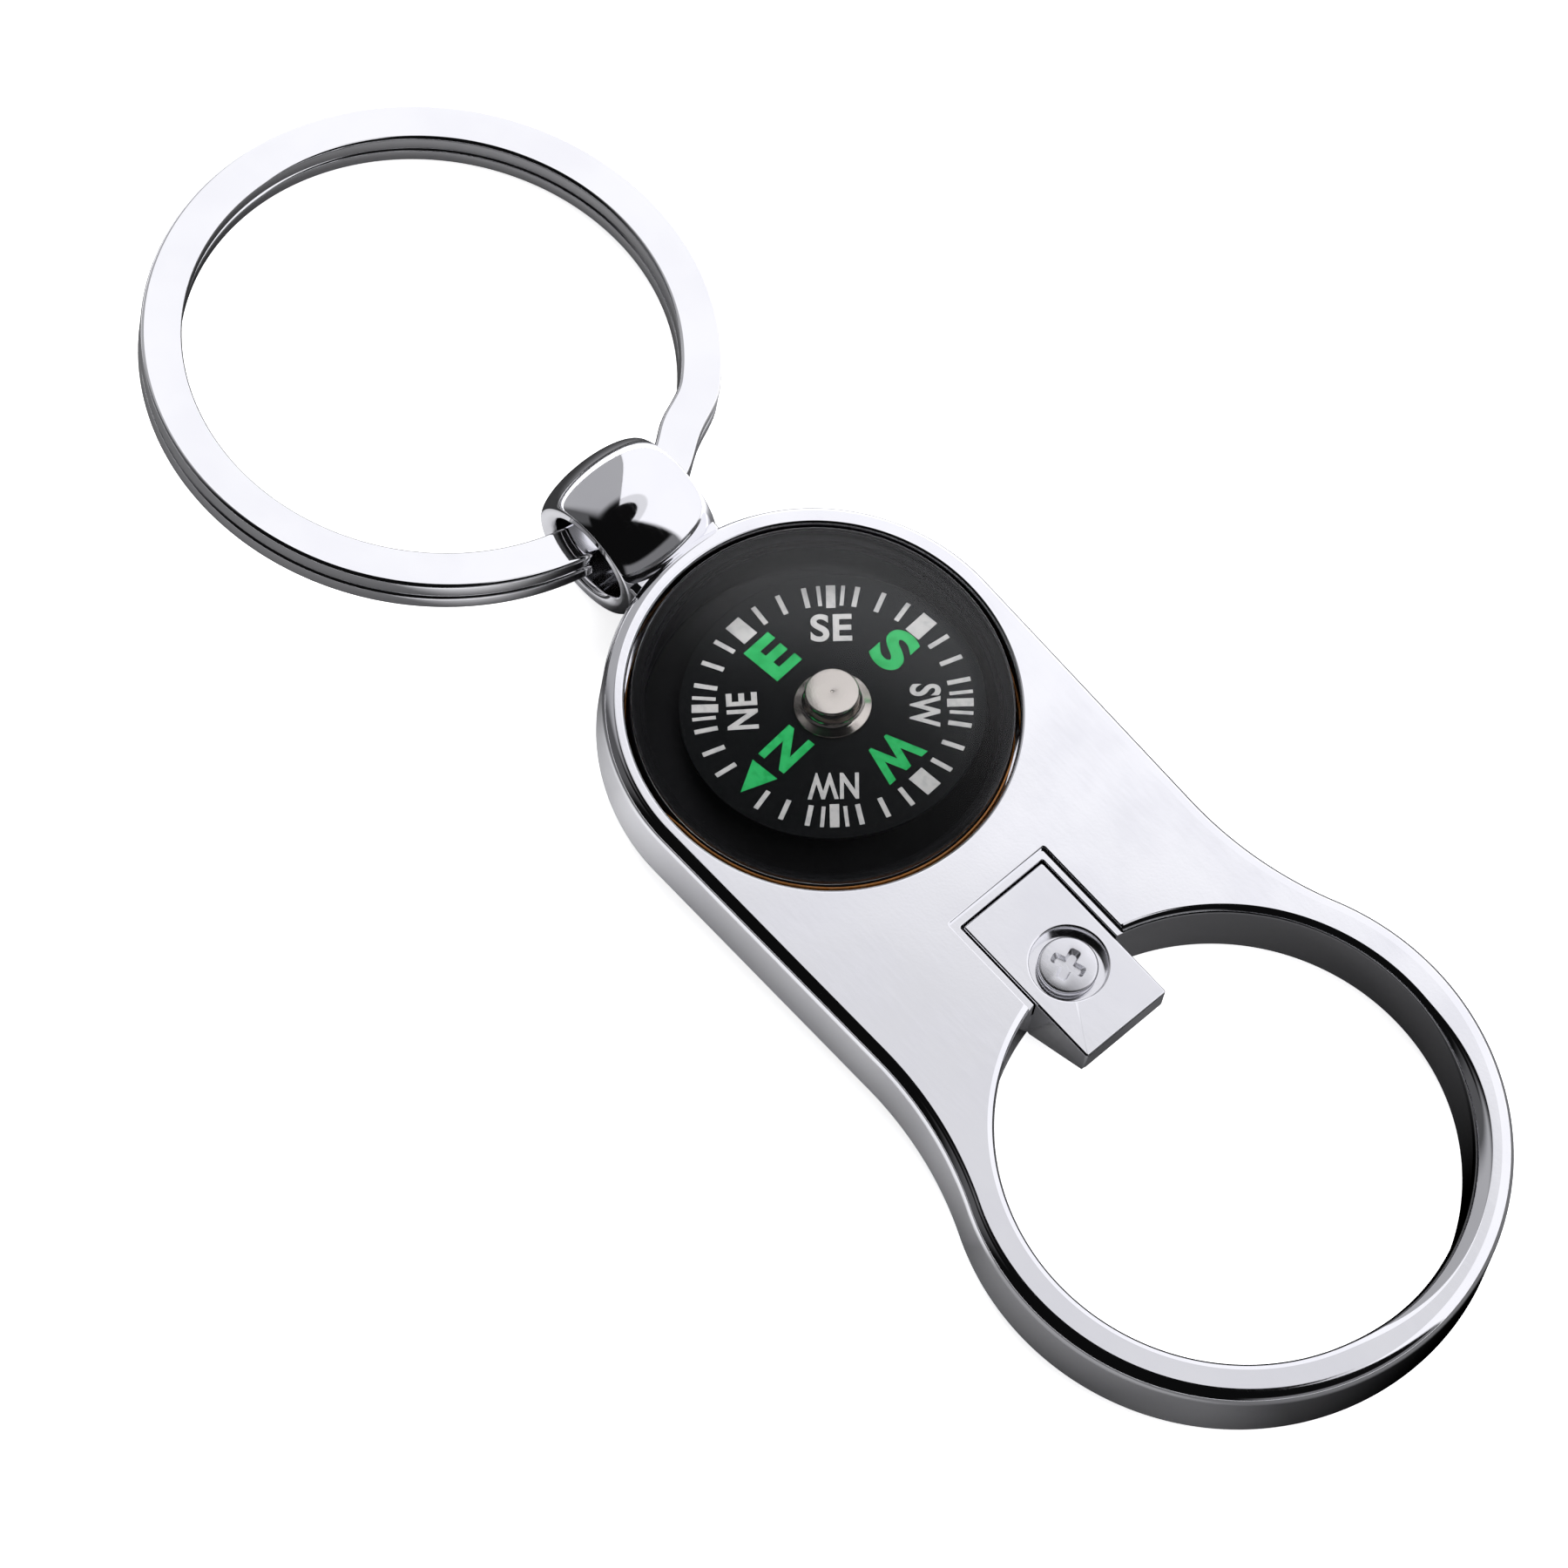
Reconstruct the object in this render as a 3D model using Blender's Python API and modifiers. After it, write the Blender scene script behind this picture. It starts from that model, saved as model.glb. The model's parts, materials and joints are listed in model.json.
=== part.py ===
"""Keychain bottle opener with a button compass and a split ring, at its real size in metres.

Every piece is laid out in the opener's own frame: +X runs from the compass to the bottle loop,
+Z is out of the face, and z = 0 is the flat back of the casting. The frame hangs on one empty,
which sets the opener down on the floor as it comes to rest: on the barrel eyelet and on the rim
of the loop, with the split ring lying back until it touches the floor too.
"""

import math

import bmesh
import bpy
from mathutils import Matrix, Vector

MM = 0.001
GAP = 0.05 * MM  # clearance between pieces that sit on or in each other

# Casting: a flat head round the compass, a waist, and a round loop for the bottle cap.
BODY_T = 4.75 * MM
EDGE_R = 0.7 * MM
HEAD_R = 11.2 * MM
WAIST_Y = 10.95 * MM  # half width where the straight sides meet the fillets
FILLET_R = 20.0 * MM  # concave fillet between side and loop
LOOP_X = 30.5 * MM
LOOP_R = 14.1 * MM
HOLE_R = 12.05 * MM

# Barrel eyelet that carries the split ring: a crowned tube across the tail of the casting.
BARREL_X = -14.4 * MM
BARREL_L = 6.1 * MM
BARREL_CROWN_R = 4.05 * MM
BARREL_END_R = 3.35 * MM
BORE_R = 2.45 * MM
BORE_FLARE = 0.3 * MM
NECK_W = 5.9 * MM
NECK_T = 3.7 * MM
BARREL_Z = BODY_T / 2

# Recess for the compass.
RECESS_R = 10.05 * MM
RECESS_FLOOR = 0.6 * MM

# Cap lifter: a steel plate let into the casting and held on a nib by one screw.
LIFTER_X0 = 13.4 * MM
LIFTER_X1 = 22.6 * MM
LIFTER_W = 5.5 * MM
LIFTER_T = 1.6 * MM
LIFTER_TOP = BODY_T - 0.3 * MM
LIFTER_SEAT = LIFTER_TOP - LIFTER_T
POCKET_SIDE = 0.1 * MM
LEDGE_W = 0.42 * MM
NIB_W = 5.3 * MM
NIB_FRONT_X = LIFTER_X1 - 0.15 * MM
NIB_FRONT_Z = LIFTER_TOP - 2.1 * MM

# Lifter screw: cross-recessed pan head in a counterbore.
SCREW_X = 18.3 * MM
SCREW_HEAD_R = 1.55 * MM
SCREW_HEAD_T = 0.55 * MM
SCREW_R = 0.95 * MM
SCREW_TIP = 1.1 * MM
COUNTERBORE_R = 2.0 * MM
COUNTERBORE_T = 0.75 * MM
CROSS_L = 1.9 * MM
CROSS_W = 0.34 * MM

# Compass capsule: cup, clear lens, and a card turning on a needle.
CASE_R = 9.8 * MM
CASE_WALL = 0.55 * MM
CASE_FLOOR = 0.4 * MM
CASE_Z0 = RECESS_FLOOR + 0.15 * MM
CASE_Z1 = 4.5 * MM
GLUE_T = 0.1 * MM
GLUE_TOP = 4.55 * MM
LENS_T = 0.6 * MM
LENS_DOME = 0.55 * MM
LENS_HOLLOW = 0.35 * MM  # how far the underside rises over the hub
LENS_HOLLOW_R = 8.0 * MM
LENS_CHAMFER = 0.35 * MM
PIVOT_X = -0.25 * MM  # the needle stands a little off the capsule's middle
PIVOT_Y = 0.97 * MM
PIVOT_Z = 3.84 * MM  # tip of the needle, on which the card hangs
PIN_R = 0.35 * MM
PIN_FOOT_R = 0.9 * MM
PIN_FOOT_T = 0.25 * MM
PIN_CONE = 0.6 * MM
CARD_R = 7.8 * MM
CARD_T = 0.2 * MM
CARD_TOP = -0.8 * MM  # from the needle's tip
CARD_BORE_R = 1.05 * MM
CARD_DIP = math.radians(-10.0)  # the card floats with its edge low at the tail
MAGNET_R = 3.2 * MM
MAGNET_T = 0.6 * MM
HUB_TOP_R = 1.4 * MM
HUB_FOOT_R = 2.0 * MM
HUB_TOP = 0.6 * MM
HUB_BORE_R = 0.8 * MM
JEWEL_R = 0.72 * MM
JEWEL_T = 0.55 * MM

# Split ring: flat wire wound twice, with one crossover and two free ends.
RING_OUTER_R = 15.0 * MM
RING_WIRE_W = 2.15 * MM
RING_WIRE_T = 1.0 * MM
RING_PITCH = 1.05 * MM
RING_MEAN_R = RING_OUTER_R - RING_WIRE_W / 2
RING_HANG = 0.35 * MM  # how far the wire sits off the bore's centre
RING_YAW = math.radians(3.3)  # the ring lies a little askew in the bore
RING_SWING = math.radians(-5.2)  # about the barrel's bore, far edge down
RING_ROLL = math.radians(-7.5)  # the ring leans over in the bore
RING_CROSS_AT = math.radians(-9.0)
RING_CROSS_ARC = math.radians(20.0)
RING_END_GAP = math.radians(2.5)
RING_STEP = math.radians(6.0)

CUT_OVER = 1.0 * MM  # how far a cutter runs past a face
ROUND_STEPS = 72


# ---------------------------------------------------------------- scene helpers


def clear_scene():
    for obj in list(bpy.data.objects):
        bpy.data.objects.remove(obj, do_unlink=True)


def new_collection(name, hidden=False):
    collection = bpy.data.collections.new(name)
    bpy.context.scene.collection.children.link(collection)
    collection.hide_render = hidden
    return collection


def principled(name, colour, roughness, metallic=0.0, transmission=0.0):
    material = bpy.data.materials.new(name)
    material.use_nodes = True
    shader = material.node_tree.nodes["Principled BSDF"]
    shader.inputs["Base Color"].default_value = (*colour, 1.0)
    shader.inputs["Roughness"].default_value = roughness
    shader.inputs["Metallic"].default_value = metallic
    shader.inputs["Transmission Weight"].default_value = transmission
    return material


def link(obj, collection, parent=None):
    collection.objects.link(obj)
    obj.parent = parent
    return obj


def as_piece(obj, material):
    """Shades a finished piece and gives it its material."""
    obj.data.materials.clear()
    obj.data.materials.append(material)
    obj.data.shade_smooth()
    obj.data.set_sharp_from_angle(angle=math.radians(32))
    return obj


def as_cutter(obj):
    obj.hide_render = True
    obj.display_type = "WIRE"
    return obj


def boolean(obj, other, operation):
    modifier = obj.modifiers.new(other.name, "BOOLEAN")
    modifier.operation = operation
    modifier.solver = "EXACT"
    modifier.object = other


# ---------------------------------------------------------------- shape helpers


def cylinder(name, radius, z0, z1, collection, parent, steps=ROUND_STEPS):
    mesh = bpy.data.meshes.new(name)
    shape = bmesh.new()
    bmesh.ops.create_cone(
        shape, cap_ends=True, segments=steps, radius1=radius, radius2=radius, depth=z1 - z0
    )
    bmesh.ops.translate(shape, verts=shape.verts, vec=(0, 0, (z0 + z1) / 2))
    shape.to_mesh(mesh)
    shape.free()
    return link(bpy.data.objects.new(name, mesh), collection, parent)


def box(name, low, high, collection, parent):
    mesh = bpy.data.meshes.new(name)
    shape = bmesh.new()
    size = Vector(high) - Vector(low)
    centre = (Vector(high) + Vector(low)) / 2
    bmesh.ops.create_cube(shape, size=1.0, matrix=Matrix.Translation(centre) @ Matrix.Diagonal((*size, 1)))
    shape.to_mesh(mesh)
    shape.free()
    return link(bpy.data.objects.new(name, mesh), collection, parent)


def turned(name, profile, collection, parent, steps=ROUND_STEPS):
    """A solid of revolution about Z. The profile runs down its outer side and back up inside."""
    mesh = bpy.data.meshes.new(name)
    shape = bmesh.new()
    corners = [shape.verts.new((radius, 0, z)) for radius, z in profile]
    for start, end in zip(corners, corners[1:]):
        shape.edges.new((start, end))
    if profile[0][0] > 0:
        shape.edges.new((corners[-1], corners[0]))
    shape.to_mesh(mesh)
    shape.free()
    obj = link(bpy.data.objects.new(name, mesh), collection, parent)
    screw = obj.modifiers.new("turn", "SCREW")
    screw.steps = steps
    screw.render_steps = steps
    screw.use_merge_vertices = True
    screw.merge_threshold = 0.000001
    return obj


def spline(curve, points, cyclic=True):
    line = curve.splines.new("POLY")
    line.points.add(len(points) - 1)
    for slot, point in zip(line.points, points):
        slot.co = (*point, 1) if len(point) == 3 else (*point, 0, 1)
    line.use_cyclic_u = cyclic


def slab(name, outline, thickness, collection, parent, edge=0.0):
    """A flat outline in XY given thickness about z = 0, with its edges rounded by edge."""
    curve = bpy.data.curves.new(name, "CURVE")
    curve.dimensions = "2D"
    curve.fill_mode = "BOTH"
    curve.extrude = thickness / 2 - edge
    curve.bevel_depth = edge
    curve.bevel_resolution = 2
    curve.offset = -edge
    spline(curve, outline)
    return mesh_from(curve, name, collection, parent)


def mesh_from(curve, name, collection, parent):
    """Turns a curve into a welded mesh object, so that it can be cut and joined."""
    source = bpy.data.objects.new(name + "_curve", curve)
    bpy.context.scene.collection.objects.link(source)
    graph = bpy.context.evaluated_depsgraph_get()
    mesh = bpy.data.meshes.new_from_object(source.evaluated_get(graph))
    bpy.data.objects.remove(source, do_unlink=True)
    shape = bmesh.new()
    shape.from_mesh(mesh)
    bmesh.ops.remove_doubles(shape, verts=shape.verts, dist=0.000001)
    bmesh.ops.recalc_face_normals(shape, faces=shape.faces)
    shape.to_mesh(mesh)
    shape.free()
    mesh.name = name
    return link(bpy.data.objects.new(name, mesh), collection, parent)


def arc(centre, radius, start, end, steps):
    """Points along an arc from the angle start to the angle end, both included."""
    turn = [start + (end - start) * i / steps for i in range(steps + 1)]
    return [(centre[0] + radius * math.cos(a), centre[1] + radius * math.sin(a)) for a in turn]


def round_bevel(obj, width, segments, angle=math.radians(40)):
    bevel = obj.modifiers.new("edges", "BEVEL")
    bevel.width = width
    bevel.segments = segments
    bevel.limit_method = "ANGLE"
    bevel.angle_limit = angle


# ---------------------------------------------------------------- casting


def casting_side():
    """The +Y half of the outline, from the tip of the loop back to the tail of the head."""
    fillet_y = WAIST_Y + FILLET_R
    reach = LOOP_R + FILLET_R
    fillet_x = LOOP_X - math.sqrt(reach**2 - fillet_y**2)
    on_loop = math.atan2(fillet_y, fillet_x - LOOP_X)
    slope = math.atan2(HEAD_R - WAIST_Y, fillet_x)  # the sides draw in slightly towards the loop
    loop = arc((LOOP_X, 0), LOOP_R, 0, on_loop, 24)
    fillet = arc((fillet_x, fillet_y), FILLET_R, on_loop - math.pi, -math.pi / 2 - slope, 8)
    head = arc((0, 0), HEAD_R, math.pi / 2 - slope, math.pi, 20)
    return loop[:-1] + fillet + head


def casting_outline():
    upper = casting_side()
    lower = [(x, -y) for x, y in reversed(upper[1:-1])]
    return upper + lower


def barrel_profile():
    """Crowned barrel, from end to end: the radius follows a flat ellipse."""
    steps = 10
    profile = [(0, BARREL_L / 2)]
    for i in range(steps + 1):
        along = 1 - 2 * i / steps
        crown = math.sqrt(1 - (0.94 * along) ** 2)
        low = math.sqrt(1 - 0.94**2)
        radius = BARREL_END_R + (BARREL_CROWN_R - BARREL_END_R) * (crown - low) / (1 - low)
        profile.append((radius, along * BARREL_L / 2))
    return profile + [(0, -BARREL_L / 2)]


def bore_profile():
    """Bore with flared mouths, run past both ends of the barrel."""
    half = BARREL_L / 2
    wide = BORE_R + BORE_FLARE
    far = half + CUT_OVER
    return [
        (0, far),
        (wide, far),
        (wide, half),
        (BORE_R, half - BORE_FLARE),
        (BORE_R, -half + BORE_FLARE),
        (wide, -half),
        (wide, -far),
        (0, -far),
    ]


def across_tail():
    """Puts something turned about Z on the barrel's own axis, along Y."""
    return Matrix.Translation((BARREL_X, 0, BARREL_Z)) @ Matrix.Rotation(-math.pi / 2, 4, "X")


def upright(y):
    """Stands an outline drawn as (x, z) up in the XZ plane, centred on y."""
    return Matrix.Translation((0, y, 0)) @ Matrix.Rotation(math.pi / 2, 4, "X")


def make_casting(parts, cutters, frame, chrome):
    body = slab("body_casting", casting_outline(), BODY_T, parts, frame, EDGE_R)
    body.data.transform(Matrix.Translation((0, 0, BODY_T / 2)))

    barrel = as_cutter(turned("barrel_form", barrel_profile(), cutters, frame, 44))
    barrel.matrix_local = across_tail()
    neck_x1 = -HEAD_R + 0.8 * MM
    neck = box(
        "neck_form",
        (BARREL_X, -NECK_W / 2, BARREL_Z - NECK_T / 2),
        (neck_x1, NECK_W / 2, BARREL_Z + NECK_T / 2),
        cutters,
        frame,
    )
    round_bevel(as_cutter(neck), 0.5 * MM, 3)
    hole_edge = LOOP_X - HOLE_R
    nib_side = [
        (hole_edge - 0.6 * MM, LIFTER_SEAT - GAP),
        (hole_edge - 0.6 * MM, EDGE_R),
        (hole_edge + 0.45 * MM, EDGE_R / 2),
        (NIB_FRONT_X, NIB_FRONT_Z),
        (NIB_FRONT_X, LIFTER_SEAT - GAP),
    ]
    nib = as_cutter(slab("nib_form", nib_side, NIB_W, cutters, frame))
    nib.matrix_local = upright(0)

    far_x = LOOP_X - HOLE_R / 2
    hole = cylinder("loop_hole", HOLE_R, -CUT_OVER, BODY_T + CUT_OVER, cutters, frame, 80)
    hole.location = (LOOP_X, 0, 0)
    recess = cylinder("compass_recess", RECESS_R, RECESS_FLOOR, BODY_T + CUT_OVER, cutters, frame, 80)
    pocket_y = LIFTER_W / 2 + POCKET_SIDE
    pocket = box(
        "lifter_pocket",
        (LIFTER_X0 - POCKET_SIDE, -pocket_y, LIFTER_SEAT - GAP),
        (far_x, pocket_y, BODY_T + CUT_OVER),
        cutters,
        frame,
    )
    ledge_y = pocket_y + LEDGE_W
    ledge = box(
        "lifter_ledge",
        (LIFTER_X0 - POCKET_SIDE - LEDGE_W, -ledge_y, LIFTER_TOP),
        (far_x, ledge_y, BODY_T + CUT_OVER),
        cutters,
        frame,
    )
    screw_hole = cylinder(
        "screw_hole", SCREW_R + GAP, SCREW_TIP - 0.2 * MM, BODY_T, cutters, frame, 32
    )
    screw_hole.location = (SCREW_X, 0, 0)
    bore = turned("barrel_bore", bore_profile(), cutters, frame, 44)
    bore.matrix_local = across_tail()

    boolean(body, neck, "UNION")
    boolean(body, barrel, "UNION")
    boolean(body, as_cutter(hole), "DIFFERENCE")
    boolean(body, nib, "UNION")
    for cutter in (recess, ledge, pocket, screw_hole, bore):
        boolean(body, as_cutter(cutter), "DIFFERENCE")
    return as_piece(body, chrome)


# ---------------------------------------------------------------- lifter


def make_lifter(parts, cutters, frame, steel):
    half = LIFTER_W / 2
    corner = 0.25 * MM
    outline = [
        (LIFTER_X0, -half),
        (LIFTER_X1 - corner, -half),
        (LIFTER_X1, -half + corner),
        (LIFTER_X1, half - corner),
        (LIFTER_X1 - corner, half),
        (LIFTER_X0, half),
    ]
    plate = slab("lifter_plate", outline, LIFTER_T, parts, frame)
    plate.data.transform(Matrix.Translation((0, 0, LIFTER_SEAT + LIFTER_T / 2)))
    seat = LIFTER_TOP - COUNTERBORE_T
    through = cylinder("plate_hole", SCREW_R + GAP, 0, BODY_T + CUT_OVER, cutters, frame, 32)
    counterbore = cylinder("counterbore", COUNTERBORE_R, seat, BODY_T + CUT_OVER, cutters, frame, 48)
    for cutter in (through, counterbore):
        cutter.location = (SCREW_X, 0, 0)
        boolean(plate, as_cutter(cutter), "DIFFERENCE")
    return as_piece(plate, steel)


def make_screw(parts, cutters, frame, steel):
    seat = LIFTER_TOP - COUNTERBORE_T + GAP
    top = seat + SCREW_HEAD_T
    profile = [
        (0, top),
        (SCREW_HEAD_R * 0.6, top - 0.03 * MM),
        (SCREW_HEAD_R * 0.9, top - 0.12 * MM),
        (SCREW_HEAD_R, top - 0.25 * MM),
        (SCREW_HEAD_R, seat),
        (SCREW_R, seat),
        (SCREW_R, SCREW_TIP + 0.3 * MM),
        (SCREW_R * 0.6, SCREW_TIP),
        (0, SCREW_TIP),
    ]
    screw = turned("lifter_screw", profile, parts, frame, 36)
    screw.location = (SCREW_X, 0, 0)
    for index in range(2):
        slot = box(
            f"cross_slot_{index}",
            (-CROSS_L / 2, -CROSS_W / 2, top - 0.4 * MM),
            (CROSS_L / 2, CROSS_W / 2, top + CUT_OVER),
            cutters,
            frame,
        )
        slot.location = (SCREW_X, 0, 0)
        slot.rotation_euler = (0, 0, math.radians(20 + 90 * index))
        boolean(screw, as_cutter(slot), "DIFFERENCE")
    return as_piece(screw, steel)


# ---------------------------------------------------------------- compass capsule


def make_capsule(parts, frame, finish):
    inner = CASE_R - CASE_WALL
    floor_top = CASE_Z0 + CASE_FLOOR
    case = [
        (CASE_R, CASE_Z1),
        (CASE_R, CASE_Z0),
        (0, CASE_Z0),
        (0, floor_top),
        (inner, floor_top),
        (inner, CASE_Z1),
    ]
    as_piece(turned("compass_case", case, parts, frame, 72), finish["black"])

    glue_in = CASE_R + GAP
    glue_out = glue_in + GLUE_T
    glue_z = RECESS_FLOOR + GAP / 2
    glue = [
        (glue_out, GLUE_TOP),
        (glue_out, glue_z),
        (0, glue_z),
        (0, CASE_Z0 - GAP),
        (glue_in, CASE_Z0 - GAP),
        (glue_in, GLUE_TOP),
    ]
    as_piece(turned("compass_adhesive", glue, parts, frame, 72), finish["amber"])

    lens_z = CASE_Z1 + GAP
    rim_top = lens_z + LENS_T
    dome_r = CASE_R - LENS_CHAMFER
    rings = 4
    shares = [i / rings for i in range(rings + 1)]
    dome = [(dome_r * share, rim_top + LENS_DOME * (1 - share**2)) for share in shares]
    hollow = [(LENS_HOLLOW_R * share, lens_z + LENS_HOLLOW * (1 - share**2)) for share in shares]
    lens = dome + [(CASE_R - GAP, rim_top - LENS_CHAMFER), (CASE_R - GAP, lens_z)] + hollow[::-1]
    as_piece(turned("compass_lens", lens, parts, frame, 72), finish["clear"])

    foot = floor_top + GAP
    pin = [
        (0, PIVOT_Z),
        (PIN_R, PIVOT_Z - PIN_CONE),
        (PIN_R, foot + PIN_FOOT_T),
        (PIN_FOOT_R, foot + PIN_FOOT_T),
        (PIN_FOOT_R, foot),
        (0, foot),
    ]
    needle = turned("pivot_pin", pin, parts, frame, 24)
    needle.location = (PIVOT_X, PIVOT_Y, 0)
    as_piece(needle, finish["steel"])


def make_card(parts, frame, finish):
    """The card, its magnet and its bearing, all about the axis through the needle's tip."""
    floating = bpy.data.objects.new("card_axis", None)
    link(floating, parts, frame)
    floating.location = (PIVOT_X, PIVOT_Y, PIVOT_Z)
    floating.rotation_euler = (0, CARD_DIP, 0)

    card_foot = CARD_TOP - CARD_T
    card = [(CARD_R, CARD_TOP), (CARD_R, card_foot), (CARD_BORE_R, card_foot), (CARD_BORE_R, CARD_TOP)]
    as_piece(turned("compass_card", card, parts, floating, 72), finish["black"])

    magnet_top = card_foot - GAP
    magnet = [
        (MAGNET_R, magnet_top),
        (MAGNET_R, magnet_top - MAGNET_T),
        (CARD_BORE_R, magnet_top - MAGNET_T),
        (CARD_BORE_R, magnet_top),
    ]
    as_piece(turned("card_magnet", magnet, parts, floating, 48), finish["magnet"])

    hub_foot = CARD_TOP + GAP
    roof = HUB_TOP - 0.2 * MM
    hub = [
        (0, HUB_TOP),
        (HUB_TOP_R - 0.12 * MM, HUB_TOP),
        (HUB_TOP_R, HUB_TOP - 0.12 * MM),
        (HUB_TOP_R, hub_foot + 0.45 * MM),
        (HUB_TOP_R + 0.15 * MM, hub_foot + 0.2 * MM),
        (HUB_FOOT_R, hub_foot + 0.12 * MM),
        (HUB_FOOT_R, hub_foot),
        (HUB_BORE_R, hub_foot),
        (HUB_BORE_R, roof),
        (0, roof),
    ]
    as_piece(turned("bearing_hub", hub, parts, floating, 48), finish["nickel"])

    jewel_top = roof - GAP
    jewel_foot = jewel_top - JEWEL_T
    jewel = [
        (0, jewel_top),
        (JEWEL_R, jewel_top),
        (JEWEL_R, jewel_foot),
        (0.5 * MM, jewel_foot),
        (0, jewel_top - 0.3 * MM),
    ]
    as_piece(turned("bearing_jewel", jewel, parts, floating, 32), finish["jewel"])


# ---------------------------------------------------------------- split ring


def smoothstep(t):
    t = min(max(t, 0.0), 1.0)
    return t * t * (3 - 2 * t)


def ring_path():
    """Two turns of wire. It drops from the upper turn to the lower one at the crossover."""
    start = RING_CROSS_AT + RING_CROSS_ARC + RING_END_GAP
    end = start + 4 * math.pi - RING_CROSS_ARC - 2 * RING_END_GAP
    cross = RING_CROSS_AT + 2 * math.pi
    steps = round((end - start) / RING_STEP)
    middle = -RING_MEAN_R - RING_HANG
    points = []
    for i in range(steps + 1):
        a = start + (end - start) * i / steps
        drop = smoothstep((a - cross) / RING_CROSS_ARC)
        z = RING_PITCH * (0.5 - drop)
        points.append((middle + RING_MEAN_R * math.cos(a), RING_MEAN_R * math.sin(a), z))
    return points


def wire_section():
    """Flat wire with softly rounded corners."""
    half_w = RING_WIRE_W / 2
    half_t = RING_WIRE_T / 2
    corner = 0.22 * MM
    section = []
    for index, (sx, sy) in enumerate(((1, 1), (-1, 1), (-1, -1), (1, -1))):
        centre = (sx * (half_w - corner), sy * (half_t - corner))
        section += arc(centre, corner, index * math.pi / 2, (index + 1) * math.pi / 2, 1)
    profile = bpy.data.curves.new("wire_section", "CURVE")
    profile.dimensions = "2D"
    profile.fill_mode = "NONE"
    spline(profile, section)
    return profile


def make_split_ring(parts, cutters, frame, steel):
    section = link(bpy.data.objects.new("wire_section", wire_section()), cutters)
    as_cutter(section)
    curve = bpy.data.curves.new("split_ring", "CURVE")
    curve.dimensions = "3D"
    curve.twist_mode = "Z_UP"
    curve.bevel_mode = "OBJECT"
    curve.bevel_object = section
    curve.use_fill_caps = True
    spline(curve, ring_path(), cyclic=False)
    ring = mesh_from(curve, "split_ring", parts, frame)
    ring.location = (BARREL_X, 0, BARREL_Z)
    askew = Matrix.Rotation(RING_YAW, 4, "Z")
    lean = Matrix.Rotation(RING_SWING, 4, "Y") @ Matrix.Rotation(RING_ROLL, 4, "X")
    ring.rotation_euler = (askew @ lean).to_euler()
    return as_piece(ring, steel)


# ---------------------------------------------------------------- assembly


def resting_tilt():
    """The angle at which the casting lies, touching the floor with its barrel and its loop."""
    run = LOOP_X + LOOP_R - EDGE_R - BARREL_X
    rise = BARREL_Z - EDGE_R
    return math.asin((BARREL_CROWN_R - EDGE_R) / math.hypot(run, rise)) - math.atan2(rise, run)


def set_down(frame, parts):
    """Moves the opener so that the origin is on the floor, under the middle of its length and width."""
    bpy.context.view_layer.update()
    graph = bpy.context.evaluated_depsgraph_get()
    corners = []
    for obj in parts.objects:
        if obj.type != "MESH":
            continue
        solid = obj.evaluated_get(graph)
        corners += [solid.matrix_world @ vertex.co for vertex in solid.data.vertices]
    low = Vector([min(c[i] for c in corners) for i in range(3)])
    high = Vector([max(c[i] for c in corners) for i in range(3)])
    frame.location = (-(low.x + high.x) / 2, -(low.y + high.y) / 2, -low.z)


def main():
    clear_scene()
    parts = new_collection("keychain_bottle_opener")
    cutters = new_collection("forms_and_cutters", hidden=True)
    frame = link(bpy.data.objects.new("opener_frame", None), parts)
    frame.rotation_euler = (0, resting_tilt(), 0)

    chrome = principled("chrome_plated_zinc", (0.86, 0.86, 0.88), 0.06, metallic=1.0)
    steel = principled("nickel_plated_steel", (0.80, 0.80, 0.82), 0.12, metallic=1.0)
    finish = {
        "black": principled("black_plastic", (0.012, 0.012, 0.014), 0.35),
        "clear": principled("clear_acrylic", (1.0, 1.0, 1.0), 0.02, transmission=1.0),
        "amber": principled("amber_glue", (0.55, 0.30, 0.08), 0.4),
        "magnet": principled("ferrite_magnet", (0.05, 0.05, 0.055), 0.6),
        "nickel": principled("nickel_plated_brass", (0.75, 0.70, 0.65), 0.25, metallic=1.0),
        "jewel": principled("glass_jewel", (0.85, 0.90, 0.95), 0.05, transmission=0.8),
        "steel": steel,
    }
    make_casting(parts, cutters, frame, chrome)
    make_lifter(parts, cutters, frame, chrome)
    make_screw(parts, cutters, frame, steel)
    make_capsule(parts, frame, finish)
    make_card(parts, frame, finish)
    make_split_ring(parts, cutters, frame, steel)
    set_down(frame, parts)


main()
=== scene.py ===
"""The looks of the keychain bottle opener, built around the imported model.

Every piece is modelled in the opener's own frame: +X runs from the compass to the bottle loop,
+Z is out of the face, and z = 0 is the flat back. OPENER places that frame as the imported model
lies, and is worked out from the two joints.
"""

import json
import math

import bmesh
import bpy
from mathutils import Matrix, Vector, noise


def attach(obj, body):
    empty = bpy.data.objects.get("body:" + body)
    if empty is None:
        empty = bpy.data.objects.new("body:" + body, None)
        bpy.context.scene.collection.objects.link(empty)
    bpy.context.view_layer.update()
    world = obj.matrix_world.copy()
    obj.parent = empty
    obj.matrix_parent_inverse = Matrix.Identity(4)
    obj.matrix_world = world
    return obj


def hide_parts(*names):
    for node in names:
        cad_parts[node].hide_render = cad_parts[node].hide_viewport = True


MM = 0.001

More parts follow.
